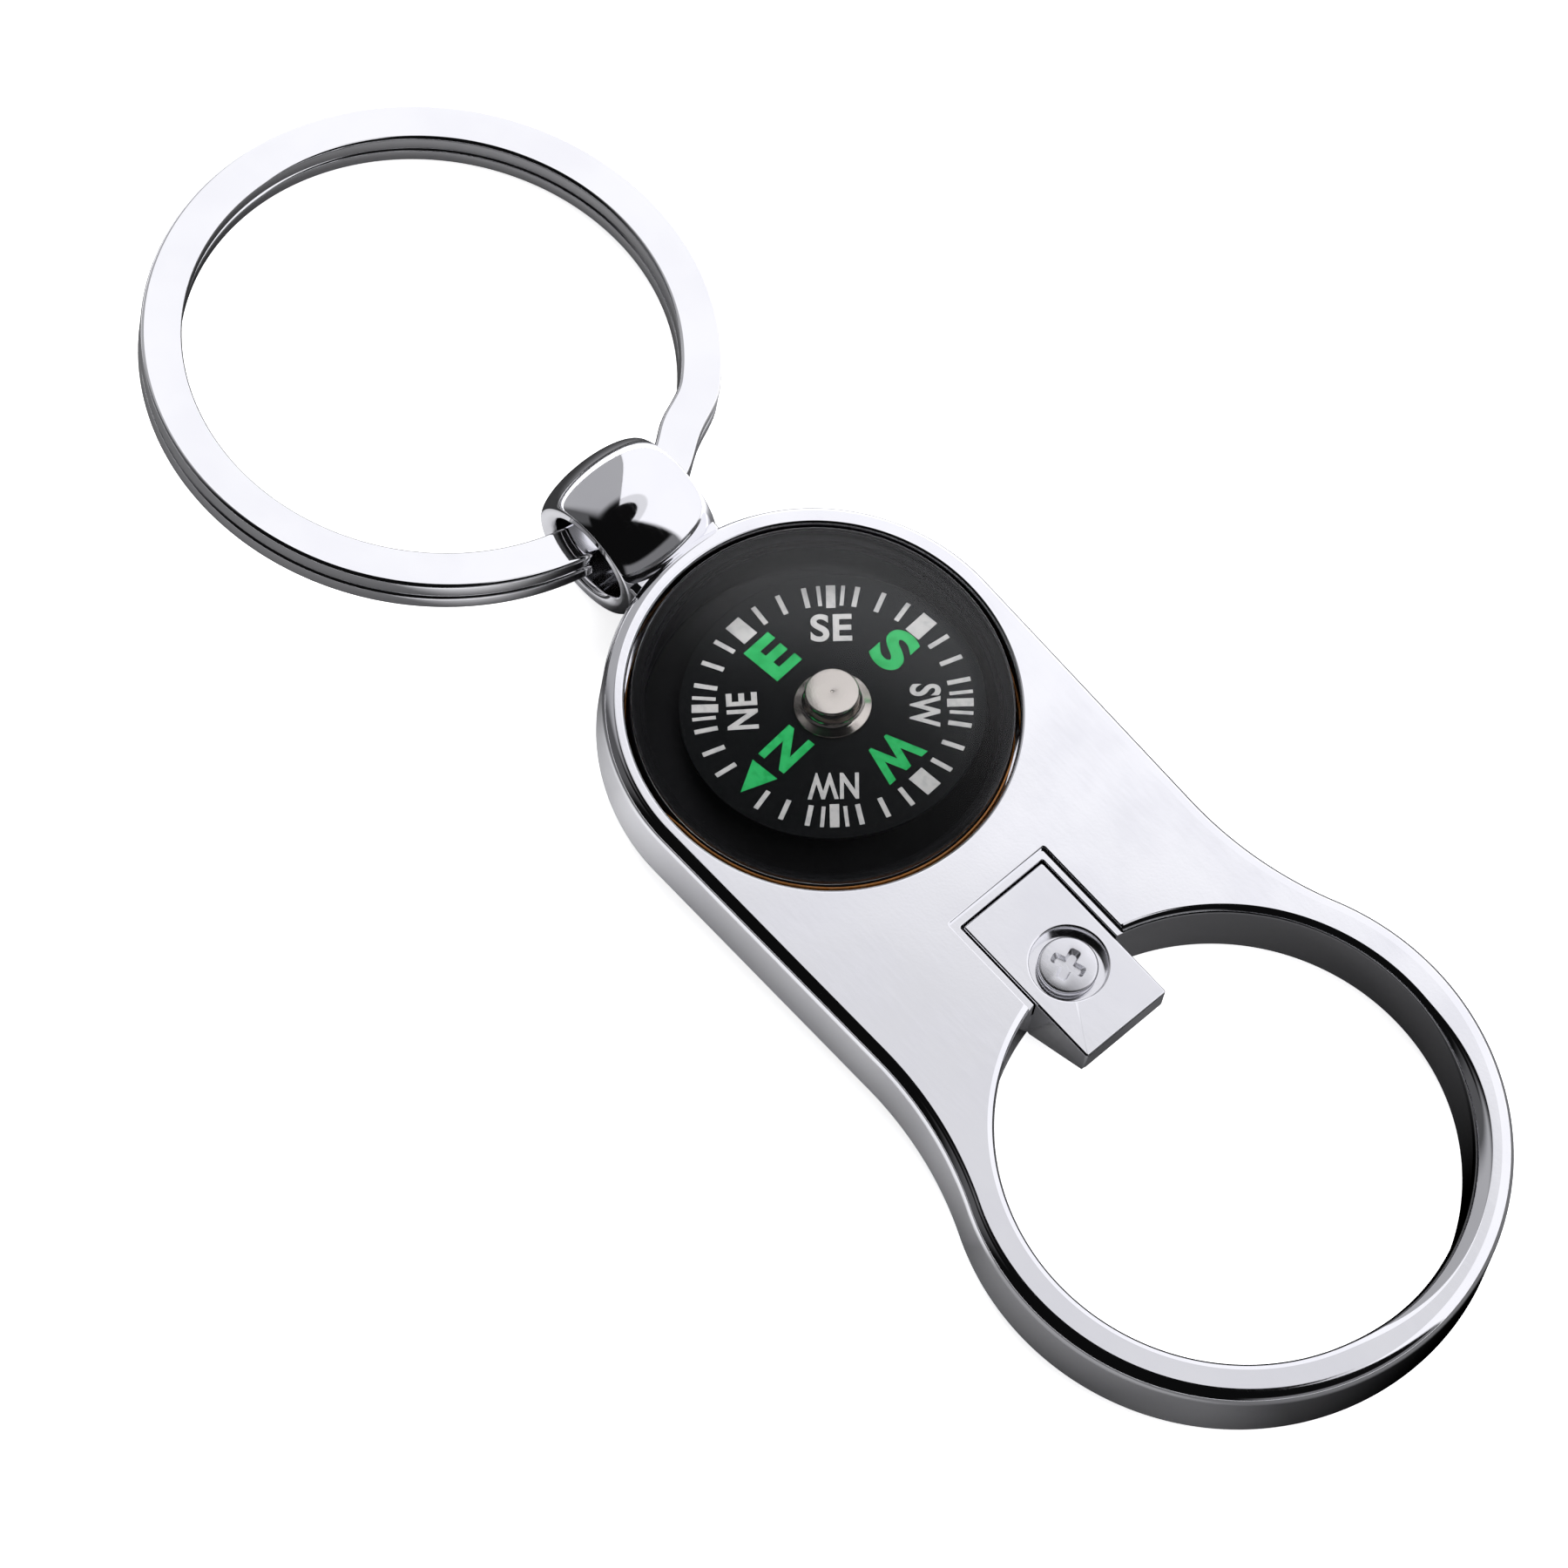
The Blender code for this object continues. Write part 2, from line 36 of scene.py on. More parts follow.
# Casting
BODY_T = 4.75 * MM
EDGE_R = 0.7 * MM
HEAD_R = 11.2 * MM
WAIST_Y = 10.95 * MM
FILLET_R = 20.0 * MM
LOOP_X = 30.5 * MM
LOOP_R = 14.1 * MM
HOLE_R = 12.05 * MM
HOLE_RIM = 0.42 * MM
HOLE_RIM_WIDE = 1.0 * MM
WIDE_AT = math.radians(35)  # where the loop's rim is widest
WIDE_FROM = 0.62  # the cosine of the angle from there at which it starts to widen
RECESS_R = 10.05 * MM
RECESS_FLOOR = 0.6 * MM
RECESS_RIM = 0.22 * MM

# Barrel eyelet and neck
BARREL_X = -14.4 * MM
BARREL_Z = BODY_T / 2
BARREL_L = 6.1 * MM
BARREL_CROWN_R = 4.05 * MM
BARREL_END_R = 3.35 * MM
BARREL_BEND = 0.94  # how far round its ellipse the barrel's profile runs
BARREL_ROUND = 0.55 * MM
BORE_R = 2.45 * MM
BORE_RIM = 0.45 * MM
NECK_W = 5.9 * MM
NECK_T = 3.7 * MM

# Cap lifter and its screw
LIFTER_X0 = 13.4 * MM
LIFTER_X1 = 22.6 * MM
LIFTER_W = 5.5 * MM
LIFTER_T = 1.6 * MM
LIFTER_TOP = BODY_T - 0.3 * MM
LIFTER_SEAT = LIFTER_TOP - LIFTER_T
POCKET_SIDE = 0.1 * MM
LEDGE_W = 0.42 * MM
NIB_W = 5.3 * MM
NIB_FRONT_X = LIFTER_X1 - 0.15 * MM
NIB_FRONT_Z = LIFTER_TOP - 2.1 * MM
SCREW_X = 18.3 * MM
SCREW_HEAD_R = 1.55 * MM
SCREW_HEAD_T = 0.55 * MM
SCREW_R = 0.95 * MM
SCREW_TIP = 1.1 * MM
COUNTERBORE_R = 2.0 * MM
COUNTERBORE_T = 0.75 * MM
CROSS_TURN = math.radians(20)

# Compass
GAP = 0.05 * MM
CASE_R = 9.8 * MM
CASE_WALL = 0.55 * MM
CASE_FLOOR = 0.4 * MM
CASE_Z0 = RECESS_FLOOR + 0.15 * MM
CASE_Z1 = 4.5 * MM
GLUE_T = 0.1 * MM
GLUE_TOP = 4.55 * MM
GLUE_OUT_AT = math.radians(-30)  # the middle of the stretch where the glue shows
GLUE_SUNK = 1.6 * MM  # how deep it stays elsewhere
LENS_T = 0.6 * MM
LENS_DOME = 0.55 * MM
LENS_EDGE_R = 0.4 * MM
LENS_HOLLOW = 0.35 * MM
LENS_HOLLOW_R = 8.0 * MM
LENS_FAR_SIDE = 125.0  # the far side's azimuth in degrees
LENS_LEAN = math.radians(7.2)  # how far its reflecting skin is tipped towards the near side
LENS_CURVE = 3.9  # half of the slope that this lean loses per metre towards the far side
PIVOT_X = -0.25 * MM
PIVOT_Y = 0.97 * MM
PIVOT_Z = 3.84 * MM
PIN_R = 0.35 * MM
CARD_R = 7.8 * MM
CARD_T = 0.2 * MM
CARD_TOP = -0.8 * MM
CARD_BORE_R = 1.05 * MM
CARD_DIP = math.radians(-10.0)
MAGNET_R = 3.2 * MM
MAGNET_T = 0.6 * MM
HUB_TOP_R = 1.4 * MM
HUB_FOOT_R = 2.0 * MM
HUB_TOP = 0.6 * MM
HUB_BORE_R = 0.8 * MM
JEWEL_R = 0.72 * MM
JEWEL_T = 0.55 * MM

# Printing on the card
NORTH_AT = math.radians(-87.0)  # where the card's north points, as the compass lies
TICK_OUT = 7.15 * MM
TICK_L = 1.2 * MM
TICK_W = 0.26 * MM
INK_T = 0.012 * MM
# Each word's bearing, its foot's and its top's distance from the middle, and its width, in mm
LARGE_WORDS = (
    ("N", -1.5, 2.3, 4.6, 1.76),
    ("E", 90, 3.04, 5.44, 1.8),
    ("S", 180, 3.3, 5.76, 1.8),
    ("W", 270, 3.16, 5.36, 2.74),
)
SMALL_WORDS = (
    ("NE", 42.5, 3.8, 5.38, 2.16),
    ("SE", 135, 3.8, 5.44, 2.12),
    ("SW", 226.5, 3.9, 5.48, 2.54),
    ("NW", 315.5, 3.96, 5.5, 2.6),
)

# Split ring
RING_OUTER_R = 15.0 * MM
RING_WIRE_W = 2.15 * MM
RING_WIRE_T = 1.0 * MM
RING_CORNER = 0.22 * MM
RING_PITCH = 1.05 * MM
RING_MEAN_R = RING_OUTER_R - RING_WIRE_W / 2
RING_HANG = 0.35 * MM  # how far the wire's middle is from the bore's axis
RING_YAW = math.radians(3.3)  # how far askew the ring lies in the bore
RING_SWING = math.radians(-5.2)  # how far it is let down, to lie on the floor
RING_ROLL = math.radians(-7.5)  # how far it leans to one side
RING_CROSS_AT = math.radians(-9.0)  # where the wire starts to drop to its lower turn
RING_CROSS_ARC = math.radians(20.0)
RING_END_GAP = math.radians(2.5)
RING_PINCH = 0.4 * MM  # how far both turns are drawn in, just past the crossover
RING_PINCH_AT = math.radians(26.0)
RING_PINCH_ARC = math.radians(12.0)
RING_STEP = math.radians(1.5)

# Camera, aimed at a point of the casting's face
CAMERA_AIM = (1.91 * MM, -4.45 * MM, BODY_T)
CAMERA_AZIMUTH = math.radians(-54.68)
CAMERA_ELEVATION = math.radians(66.23)
CAMERA_DISTANCE = 520.5 * MM
CAMERA_ROLL = math.radians(13.29)
CAMERA_LENS = 237.6

# Painted pools of light in the floor's colour seen only in reflections: x, y, inner radius, outer radius in
# mm, brightness
PAINTED_FLOOR_POOLS = (
    (-2, -13, 8, 15.5, 0.55),
    (-17, -2.4, 2.8, 4.4, 0.6),
    (7, -15, 12, 21, 0.65),
    (30, -16, 10, 22, 0.24),
)

# The studio's grey walls: start and end azimuth, how soft each of these edges is, the top's
# elevation and softness, brightness. The first stands left of the tent, the second is the dim
# corner beyond it, and the third is low and on the tent's right.
GREY_WALLS = (
    (152, 203, 0.012, 0.16, 66, 0.04, 0.42),
    (190, 235, 0.1, 0.12, 50, 0.03, 0.09),
    (-30, 25, 0.1, 0.03, 20, 0.05, 0.18),
)

OVER = 1.0 * MM  # how far a cutter runs past a face
FINE = 192  # facets round a turned piece
SHARP = math.radians(38)


# ---------------------------------------------------------------- placing


def joint_place(name):
    joint = next(j for j in frame["joints"] if j["name"] == name)
    return Vector(joint["pos_m"])


def opener_frame():
    """The frame of the opener, from the bore's centre and the needle's tip."""
    bore = Vector((BARREL_X, 0, BARREL_Z))
    tip = Vector((PIVOT_X, 0, PIVOT_Z))
    bore_at = joint_place("ring_swing")
    along = joint_place("card_turn") - bore_at
    tilt = math.atan2(tip.z - bore.z, tip.x - bore.x) - math.atan2(along.z, along.x)
    turn = Matrix.Rotation(tilt, 4, "Y")
    return Matrix.Translation(bore_at - turn @ bore) @ turn


# ---------------------------------------------------------------- profiles


def arc(centre, radius, start, end, steps):
    turn = [start + (end - start) * i / steps for i in range(steps + 1)]
    return [(centre[0] + radius * math.cos(a), centre[1] + radius * math.sin(a)) for a in turn]


def smoothstep(t):
    t = min(max(t, 0.0), 1.0)
    return t * t * (3 - 2 * t)


def rounded_corner(before, at, after, radius, steps):
    """Points of the arc that rounds the corner at, between its neighbours."""
    to_before = (before - at).normalized()
    to_after = (after - at).normalized()
    angle = to_before.angle(to_after)
    if radius <= 0 or angle > math.radians(172):
        return [tuple(at)]
    reach = min(radius / math.tan(angle / 2), 0.46 * (before - at).length, 0.46 * (after - at).length)
    radius = reach * math.tan(angle / 2)
    centre = at + (to_before + to_after).normalized() * (radius / math.sin(angle / 2))
    start = at + to_before * reach - centre
    end = at + to_after * reach - centre
    points = []
    for i in range(steps + 1):
        ray = start.lerp(end, i / steps)
        points.append(tuple(centre + ray.normalized() * radius))
    return points


def soften(profile, radius, steps=5):
    """Rounds a turned profile's corners. A corner may give its own radius as a third number."""
    closed = profile[0][0] > 0
    corners = [Vector(p[:2]) for p in profile]
    sizes = [p[2] if len(p) == 3 else radius for p in profile]
    points = []
    for i, at in enumerate(corners):
        if not closed and i in (0, len(corners) - 1):
            points.append(tuple(at))
            continue
        after = corners[(i + 1) % len(corners)]
        points += rounded_corner(corners[i - 1], at, after, sizes[i], steps)
    return points


def rectangle(x0, x1, half_y, corner, steps=6):
    """An outline with rounded corners, as a function of how far it is drawn in."""

    def outline(inset):
        radius = max(corner - inset, 0.01 * MM)
        spots = ((x1, half_y, 1, 1), (x0, half_y, -1, 1), (x0, -half_y, -1, -1), (x1, -half_y, 1, -1))
        points = []
        for quarter, (x, y, sx, sy) in enumerate(spots):
            centre = (x - sx * corner, y - sy * corner)
            points += arc(centre, radius, quarter * math.pi / 2, (quarter + 1) * math.pi / 2, steps)
        return points

    return outline


def casting_outline(inset):
    """The casting's outline drawn in by inset: loop, concave fillets, straight sides and head."""
    fillet_y = WAIST_Y + FILLET_R
    fillet_x = LOOP_X - math.sqrt((LOOP_R + FILLET_R) ** 2 - fillet_y**2)
    on_loop = math.atan2(fillet_y, fillet_x - LOOP_X)
    slope = math.atan2(HEAD_R - WAIST_Y, fillet_x)
    loop = arc((LOOP_X, 0), LOOP_R - inset, 0, on_loop, 150)
    fillet = arc((fillet_x, fillet_y), FILLET_R + inset, on_loop - math.pi, -math.pi / 2 - slope, 36)
    head = arc((0, 0), HEAD_R - inset, math.pi / 2 - slope, math.pi, 90)
    upper = loop[:-1] + fillet + head
    return upper + [(x, -y) for x, y in reversed(upper[1:-1])]


def barrel_profile():
    """The crowned barrel from end to end, its radius following a flat ellipse."""
    steps = 40
    profile = [(0, BARREL_L / 2)]
    low = math.sqrt(1 - BARREL_BEND**2)
    for i in range(steps + 1):
        along = 1 - 2 * i / steps
        crown = math.sqrt(1 - (BARREL_BEND * along) ** 2)
        radius = BARREL_END_R + (BARREL_CROWN_R - BARREL_END_R) * (crown - low) / (1 - low)
        profile.append((radius, along * BARREL_L / 2))
    profile.append((0, -BARREL_L / 2))
    ends = (1, steps + 1)
    corners = [Vector(p) for p in profile]
    points = []
    for i, point in enumerate(profile):
        if i in ends:
            points += rounded_corner(corners[i - 1], corners[i], corners[i + 1], BARREL_ROUND, 6)
        else:
            points.append(point)
    return points


def mouth(radius, rim, face, outward):
    """Where a hole of that radius meets a face: a rounded rim, from past the face into the hole."""
    centre = (radius + rim, face - outward * rim)
    start = math.radians(97)
    points = arc(centre, rim, start, math.pi, 8)
    if outward < 0:
        points = [(r, 2 * centre[1] - z) for r, z in points]
    lead = 0.12 * MM
    first = points[0]
    flare = (first[0] + lead, first[1] + outward * lead * math.tan(math.radians(7)))
    return [(0, face + outward * OVER), (flare[0], face + outward * OVER), flare] + points


def loop_hole():
    """The loop's cutter: the rim of its upper face is wider round WIDE_AT."""
    steps = 288
    foot = mouth(HOLE_R, HOLE_RIM, 0, -1)[::-1]
    count = len(foot) + len(mouth(HOLE_R, HOLE_RIM, BODY_T, 1))
    points = []
    for i in range(steps):
        a = 2 * math.pi * i / steps
        wide = smoothstep((math.cos(a - WIDE_AT) - WIDE_FROM) / (1 - WIDE_FROM))
        rim = HOLE_RIM + (HOLE_RIM_WIDE - HOLE_RIM) * wide
        profile = mouth(HOLE_R, rim, BODY_T, 1) + foot
        points += [(r * math.cos(a), r * math.sin(a), z) for r, z in profile]
    faces = []
    for i in range(steps):
        j = (i + 1) % steps
        for k in range(count - 1):
            ring = (i * count + k, j * count + k, j * count + k + 1, i * count + k + 1)
            faces.append(ring)
    hole = mesh_object("hole", points, faces)
    shape = bmesh.new()
    shape.from_mesh(hole.data)
    bmesh.ops.remove_doubles(shape, verts=shape.verts, dist=1e-7)
    bmesh.ops.recalc_face_normals(shape, faces=shape.faces)
    shape.to_mesh(hole.data)
    shape.free()
    return hole


def through_hole(radius, rim, low, high):
    """A cutter's profile for a hole with a rounded rim at both faces."""
    foot = mouth(radius, rim, low, -1)
    return mouth(radius, rim, high, 1) + foot[::-1]


# ---------------------------------------------------------------- meshes


def mesh_object(name, points, faces):
    mesh = bpy.data.meshes.new(name)
    mesh.from_pydata(points, [], faces)
    shape = bmesh.new()
    shape.from_mesh(mesh)
    bmesh.ops.recalc_face_normals(shape, faces=shape.faces)
    shape.to_mesh(mesh)
    shape.free()
    obj = bpy.data.objects.new(name, mesh)
    bpy.context.scene.collection.objects.link(obj)
    return obj


def turned(name, profile, steps=FINE, wave=None):
    """A solid of revolution about Z. wave(angle, z) may lift a point."""
    closed = profile[0][0] > 0
    points = []
    rows = []
    for radius, z in profile:
        if radius <= 1e-9:
            points.append((0, 0, z))
            rows.append([len(points) - 1] * steps)
            continue
        row = []
        for i in range(steps):
            a = 2 * math.pi * i / steps
            lift = wave(a, z) if wave else 0
            points.append((radius * math.cos(a), radius * math.sin(a), z + lift))
            row.append(len(points) - 1)
        rows.append(row)
    faces = []
    pairs = list(zip(rows, rows[1:]))
    if closed:
        pairs.append((rows[-1], rows[0]))
    for upper, lower in pairs:
        for i in range(steps):
            j = (i + 1) % steps
            ring = [upper[i], upper[j], lower[j], lower[i]]
            face = list(dict.fromkeys(ring))
            if len(face) > 2:
                faces.append(face)
    return mesh_object(name, points, faces)


def loft(name, rings):
    """Skins rings that all have the same number of points, and closes both ends."""
    count = len(rings[0])
    points = [p for ring in rings for p in ring]
    faces = []
    for k in range(len(rings) - 1):
        for i in range(count):
            j = (i + 1) % count
            faces.append((k * count + i, k * count + j, (k + 1) * count + j, (k + 1) * count + i))
    last = (len(rings) - 1) * count
    faces.append(tuple(reversed(range(count))))
    faces.append(tuple(range(last, last + count)))
    return mesh_object(name, points, faces)


def rounded_plate(name, outline, low, high, foot_r, top_r, steps):
    """A flat piece with its foot and top edges rounded."""
    levels = []
    for i in range(steps + 1):
        a = i / steps * math.pi / 2
        levels.append((low + foot_r * (1 - math.cos(a)), foot_r * (1 - math.sin(a))))
    for i in range(steps + 1):
        a = (1 - i / steps) * math.pi / 2
        levels.append((high - top_r * (1 - math.cos(a)), top_r * (1 - math.sin(a))))
    return loft(name, [[(x, y, z) for x, y in outline(inset)] for z, inset in levels])


def well(name, outline, floor, face, rim):
    """A cutter for a well with upright sides and a rounded rim at the face."""
    levels = [(floor, 0.0)]
    levels += [(z, -spread) for spread, z in reversed(mouth(0, rim, face, 1)[3:])]
    lead = 0.1 * MM
    levels.append((face + lead * 0.12, -rim - lead))
    levels.append((face + OVER, -rim - lead))
    return loft(name, [[(x, y, z) for x, y in outline(inset)] for z, inset in levels])


def carve(obj, tool, operation="DIFFERENCE"):
    """Joins tool to obj or cuts it from obj, and removes the tool."""
    modifier = obj.modifiers.new("carve", "BOOLEAN")
    modifier.operation = operation
    modifier.solver = "EXACT"
    modifier.object = tool
    graph = bpy.context.evaluated_depsgraph_get()
    mesh = bpy.data.meshes.new_from_object(obj.evaluated_get(graph))
    obj.modifiers.clear()
    obj.data = mesh
    bpy.data.objects.remove(tool, do_unlink=True)
    return obj


def piece(obj, material, body, place, slot, *nodes):
    """Finishes a piece: shading, material, its place, its body and the CAD nodes it stands for."""
    obj.data.materials.clear()
    obj.data.materials.append(material)
    obj.data.shade_smooth()
    obj.data.set_sharp_from_angle(angle=SHARP)
    weighted = obj.modifiers.new("weighted", "WEIGHTED_NORMAL")
    weighted.keep_sharp = True
    weighted.weight = 60
    obj.data.transform(place)
    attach(obj, body)
    if nodes:
        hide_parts(*nodes)
    return obj


# ---------------------------------------------------------------- node graphs


class Graph:
    """Short calls for building a node tree."""

    def __init__(self, tree):
        self.tree = tree
        self.tree.nodes.clear()

    def node(self, kind, inputs=(), **settings):
        made = self.tree.nodes.new(kind)
        for key, value in settings.items():
            setattr(made, key, value)
        pairs = inputs.items() if isinstance(inputs, dict) else enumerate(inputs)
        for key, value in pairs:
            if isinstance(value, bpy.types.NodeSocket):
                self.tree.links.new(value, made.inputs[key])
            else:
                made.inputs[key].default_value = value
        return made

    def math(self, operation, *values):
        return self.node("ShaderNodeMath", values, operation=operation).outputs[0]

    def ramp(self, value, low, high, to_low=0.0, to_high=1.0):
        """value from low to high becomes to_low to to_high, smoothly and clamped."""
        inputs = [value, low, high, to_low, to_high]
        return self.node("ShaderNodeMapRange", inputs, interpolation_type="SMOOTHSTEP").outputs[0]

    def mix(self, amount, first, second):
        """Mixes two colours."""
        made = self.node("ShaderNodeMix", data_type="RGBA")
        for socket, value in zip((made.inputs[0], made.inputs[6], made.inputs[7]), (amount, first, second)):
            if isinstance(value, bpy.types.NodeSocket):
                self.tree.links.new(value, socket)
            else:
                socket.default_value = value
        return made.outputs[2]

    def place(self, scale=(1, 1, 1), turn=(0, 0, 0)):
        """Object coordinates, in metres, stretched or turned."""
        where = self.node("ShaderNodeTexCoord").outputs["Object"]
        return self.node("ShaderNodeMapping", {"Vector": where, "Rotation": turn, "Scale": scale}).outputs[0]

    def noise(self, where, scale, detail):
        inputs = {"Vector": where, "Scale": scale, "Detail": detail, "Roughness": 0.5}
        return self.node("ShaderNodeTexNoise", inputs).outputs[0]

    def bump(self, height, distance, **more):
        inputs = {"Strength": 1.0, "Distance": distance, "Height": height, **more}
        return self.node("ShaderNodeBump", inputs).outputs[0]

    def dot(self, first, second):
        inputs = [first, tuple(second)]
        return self.node("ShaderNodeVectorMath", inputs, operation="DOT_PRODUCT").outputs["Value"]


def new_material(name):
    material = bpy.data.materials.new(name)
    material.use_nodes = True
    return material, Graph(material.node_tree)


def colour(r, g, b):
    return (r, g, b, 1.0)


def surface(g, shader):
    g.node("ShaderNodeOutputMaterial", {"Surface": shader.outputs[0]})


# ---------------------------------------------------------------- materials


def polished_metal(name, light, dark, smooth, rough, swell, grain):
    """Plated metal: slow swells of the casting, a fine grain, and wiped-on marks in the polish."""
    material, g = new_material(name)
    cloud = g.noise(g.place(), 230, 3)
    wipe = g.noise(g.place((1, 7, 1), (0, 0, 0.6)), 700, 3)
    fine = g.noise(g.place(), 6000, 2)
    handled = g.math("ADD", g.math("MULTIPLY", cloud, 0.6), g.math("MULTIPLY", wipe, 0.4))
    roughness = g.ramp(handled, 0.35, 0.7, smooth, rough)
    tone = g.mix(g.ramp(cloud, 0.3, 0.7), light, dark)
    waves = g.bump(g.noise(g.place(), 140, 1), swell)
    skin = g.bump(fine, grain, Normal=waves)
    shader = g.node(
        "ShaderNodeBsdfPrincipled",
        {"Base Color": tone, "Metallic": 1.0, "Roughness": roughness, "Normal": skin},
    )
    surface(g, shader)
    return material


def moulded_plastic(name, light, dark, smooth, rough, shine=0.5):
    material, g = new_material(name)
    cloud = g.noise(g.place(), 500, 3)
    skin = g.bump(g.noise(g.place(), 9000, 2), 0.004 * MM)
    shader = g.node(
        "ShaderNodeBsdfPrincipled",
        {
            "Base Color": g.mix(cloud, light, dark),
            "Roughness": g.ramp(cloud, 0.3, 0.7, smooth, rough),
            "Specular IOR Level": shine,
            "Normal": skin,
        },
    )
    surface(g, shader)
    return material


def printed_ink(name, light, dark):
    """Screen-printed ink, thinner here and there."""
    material, g = new_material(name)
    worn = g.ramp(g.noise(g.place(), 2600, 3), 0.42, 0.68)
    shader = g.node(
        "ShaderNodeBsdfPrincipled",
        {
            "Base Color": g.mix(worn, light, dark),
            "Roughness": g.ramp(worn, 0, 1, 0.42, 0.6),
            "Normal": g.bump(g.noise(g.place(), 7000, 2), 0.006 * MM),
        },
    )
    surface(g, shader)
    return material


def clear_acrylic(name):
    """The lens: seen through, without refraction. Its top and its underside both reflect.

    The reflection is blurred and tipped towards the near side, most of all on the near side, so
    that a pale veil lies over the dial's far side only.
    """
    material, g = new_material(name)
    smear = g.noise(g.place(), 90, 2)
    reach = g.dot(g.place(), facing(LENS_FAR_SIDE, 0))
    slope = g.math("MULTIPLY", reach, math.tan(LENS_LEAN))
    curve = g.math("MULTIPLY", g.math("MULTIPLY", reach, reach), -LENS_CURVE)
    lean = g.math("ADD", slope, curve)
    shine = g.node(
        "ShaderNodeBsdfGlossy",
        {
            "Color": colour(1, 1, 1),
            "Roughness": g.ramp(smear, 0.35, 0.75, 0.2, 0.24),
            "Normal": g.bump(lean, 1.0),
        },
        distribution="GGX",
    )
    through = g.node("ShaderNodeBsdfTransparent", {"Color": colour(0.965, 0.97, 0.975)})
    share = g.node("ShaderNodeFresnel", {"IOR": 1.4}).outputs[0]
    shader = g.node("ShaderNodeMixShader", [share, through.outputs[0], shine.outputs[0]])
    surface(g, shader)
    return material


def amber_glue(name):
    material, g = new_material(name)
    cloud = g.noise(g.place(), 700, 3)
    shader = g.node(
        "ShaderNodeBsdfPrincipled",
        {
            "Base Color": g.mix(cloud, colour(0.42, 0.17, 0.035), colour(0.14, 0.055, 0.015)),
            "Roughness": g.ramp(cloud, 0.3, 0.7, 0.18, 0.4),
            "Normal": g.bump(cloud, 0.03 * MM),
            "Subsurface Weight": 0.2,
            "Subsurface Radius": (0.6, 0.25, 0.08),
            "Subsurface Scale": 0.0002,
        },
    )
    surface(g, shader)
    return material


def glass_bead(name):
    material, g = new_material(name)
    cloud = g.noise(g.place(), 2000, 2)
    shader = g.node(
        "ShaderNodeBsdfPrincipled",
        {
            "Base Color": g.mix(cloud, colour(0.9, 0.95, 1.0), colour(0.8, 0.88, 0.95)),
            "Roughness": 0.06,
            "Transmission Weight": 0.8,
        },
    )
    surface(g, shader)
    return material


# ---------------------------------------------------------------- casting


def lying_across(x, z):
    """Lays something turned about Z along Y, at the barrel."""
    return Matrix.Translation((x, 0, z)) @ Matrix.Rotation(-math.pi / 2, 4, "X")


def form(obj, place):
    """Puts a form or a cutter in its place for good."""
    obj.data.transform(place)
    return obj


def neck_form():
    """The neck: a block with rounded long edges, from inside the barrel to inside the head."""
    corner = 0.5 * MM
    outline = rectangle(-NECK_T / 2, NECK_T / 2, NECK_W / 2, corner)
    x0, x1 = BARREL_X, -HEAD_R + 0.8 * MM
    steps = 16
    rings = []
    for i in range(steps + 1):
        x = x0 + (x1 - x0) * i / steps
        rings.append([(x, y, BARREL_Z + z) for z, y in outline(0)])
    return loft("neck", rings)


def nib_form():
    """The nib under the lifter: its underside slopes up from the casting's back."""
    edge = LOOP_X - HOLE_R
    side = [
        (edge - 0.6 * MM, LIFTER_SEAT - GAP),
        (edge - 0.6 * MM, EDGE_R),
        (edge + 0.45 * MM, EDGE_R / 2),
        (NIB_FRONT_X, NIB_FRONT_Z),
        (NIB_FRONT_X, LIFTER_SEAT - GAP),
    ]
    rings = [[(x, y, z) for x, z in side] for y in (-NIB_W / 2, NIB_W / 2)]
    return loft("nib", rings)


def make_casting(chrome):
    body = rounded_plate("casting", casting_outline, 0, BODY_T, EDGE_R, EDGE_R, 12)
    carve(body, neck_form(), "UNION")
    carve(body, form(turned("barrel", barrel_profile(), 144), lying_across(BARREL_X, BARREL_Z)), "UNION")
    carve(body, form(loop_hole(), Matrix.Translation((LOOP_X, 0, 0))))
    carve(body, nib_form(), "UNION")
    recess = mouth(RECESS_R, RECESS_RIM, BODY_T, 1) + [(RECESS_R, RECESS_FLOOR), (0, RECESS_FLOOR)]
    carve(body, turned("recess", recess, 256))
    far_x = LOOP_X - HOLE_R / 2
    pocket_y = LIFTER_W / 2 + POCKET_SIDE
    ledge_y = pocket_y + LEDGE_W
    pocket_x = LIFTER_X0 - POCKET_SIDE
    ledge = rectangle(pocket_x - LEDGE_W, far_x, ledge_y, 0.12 * MM)
    carve(body, well("ledge", ledge, LIFTER_TOP, BODY_T, 0.09 * MM))
    pocket = rectangle(pocket_x, far_x, pocket_y, 0.12 * MM)
    carve(body, well("pocket", pocket, LIFTER_SEAT - GAP, LIFTER_TOP, 0.06 * MM))
    shank_r = SCREW_R + GAP
    blind = SCREW_TIP - 0.2 * MM
    shank = [(0, BODY_T), (shank_r, BODY_T), (shank_r, blind), (0, blind)]
    carve(body, form(turned("shank", shank, 48), Matrix.Translation((SCREW_X, 0, 0))))
    half = BARREL_L / 2
    bore = turned("bore", through_hole(BORE_R, BORE_RIM, -half, half), 144)
    carve(body, form(bore, lying_across(BARREL_X, BARREL_Z)))
    return piece(body, chrome, "opener", OPENER, "chrome_plating", "body_casting")


# ---------------------------------------------------------------- lifter and screw


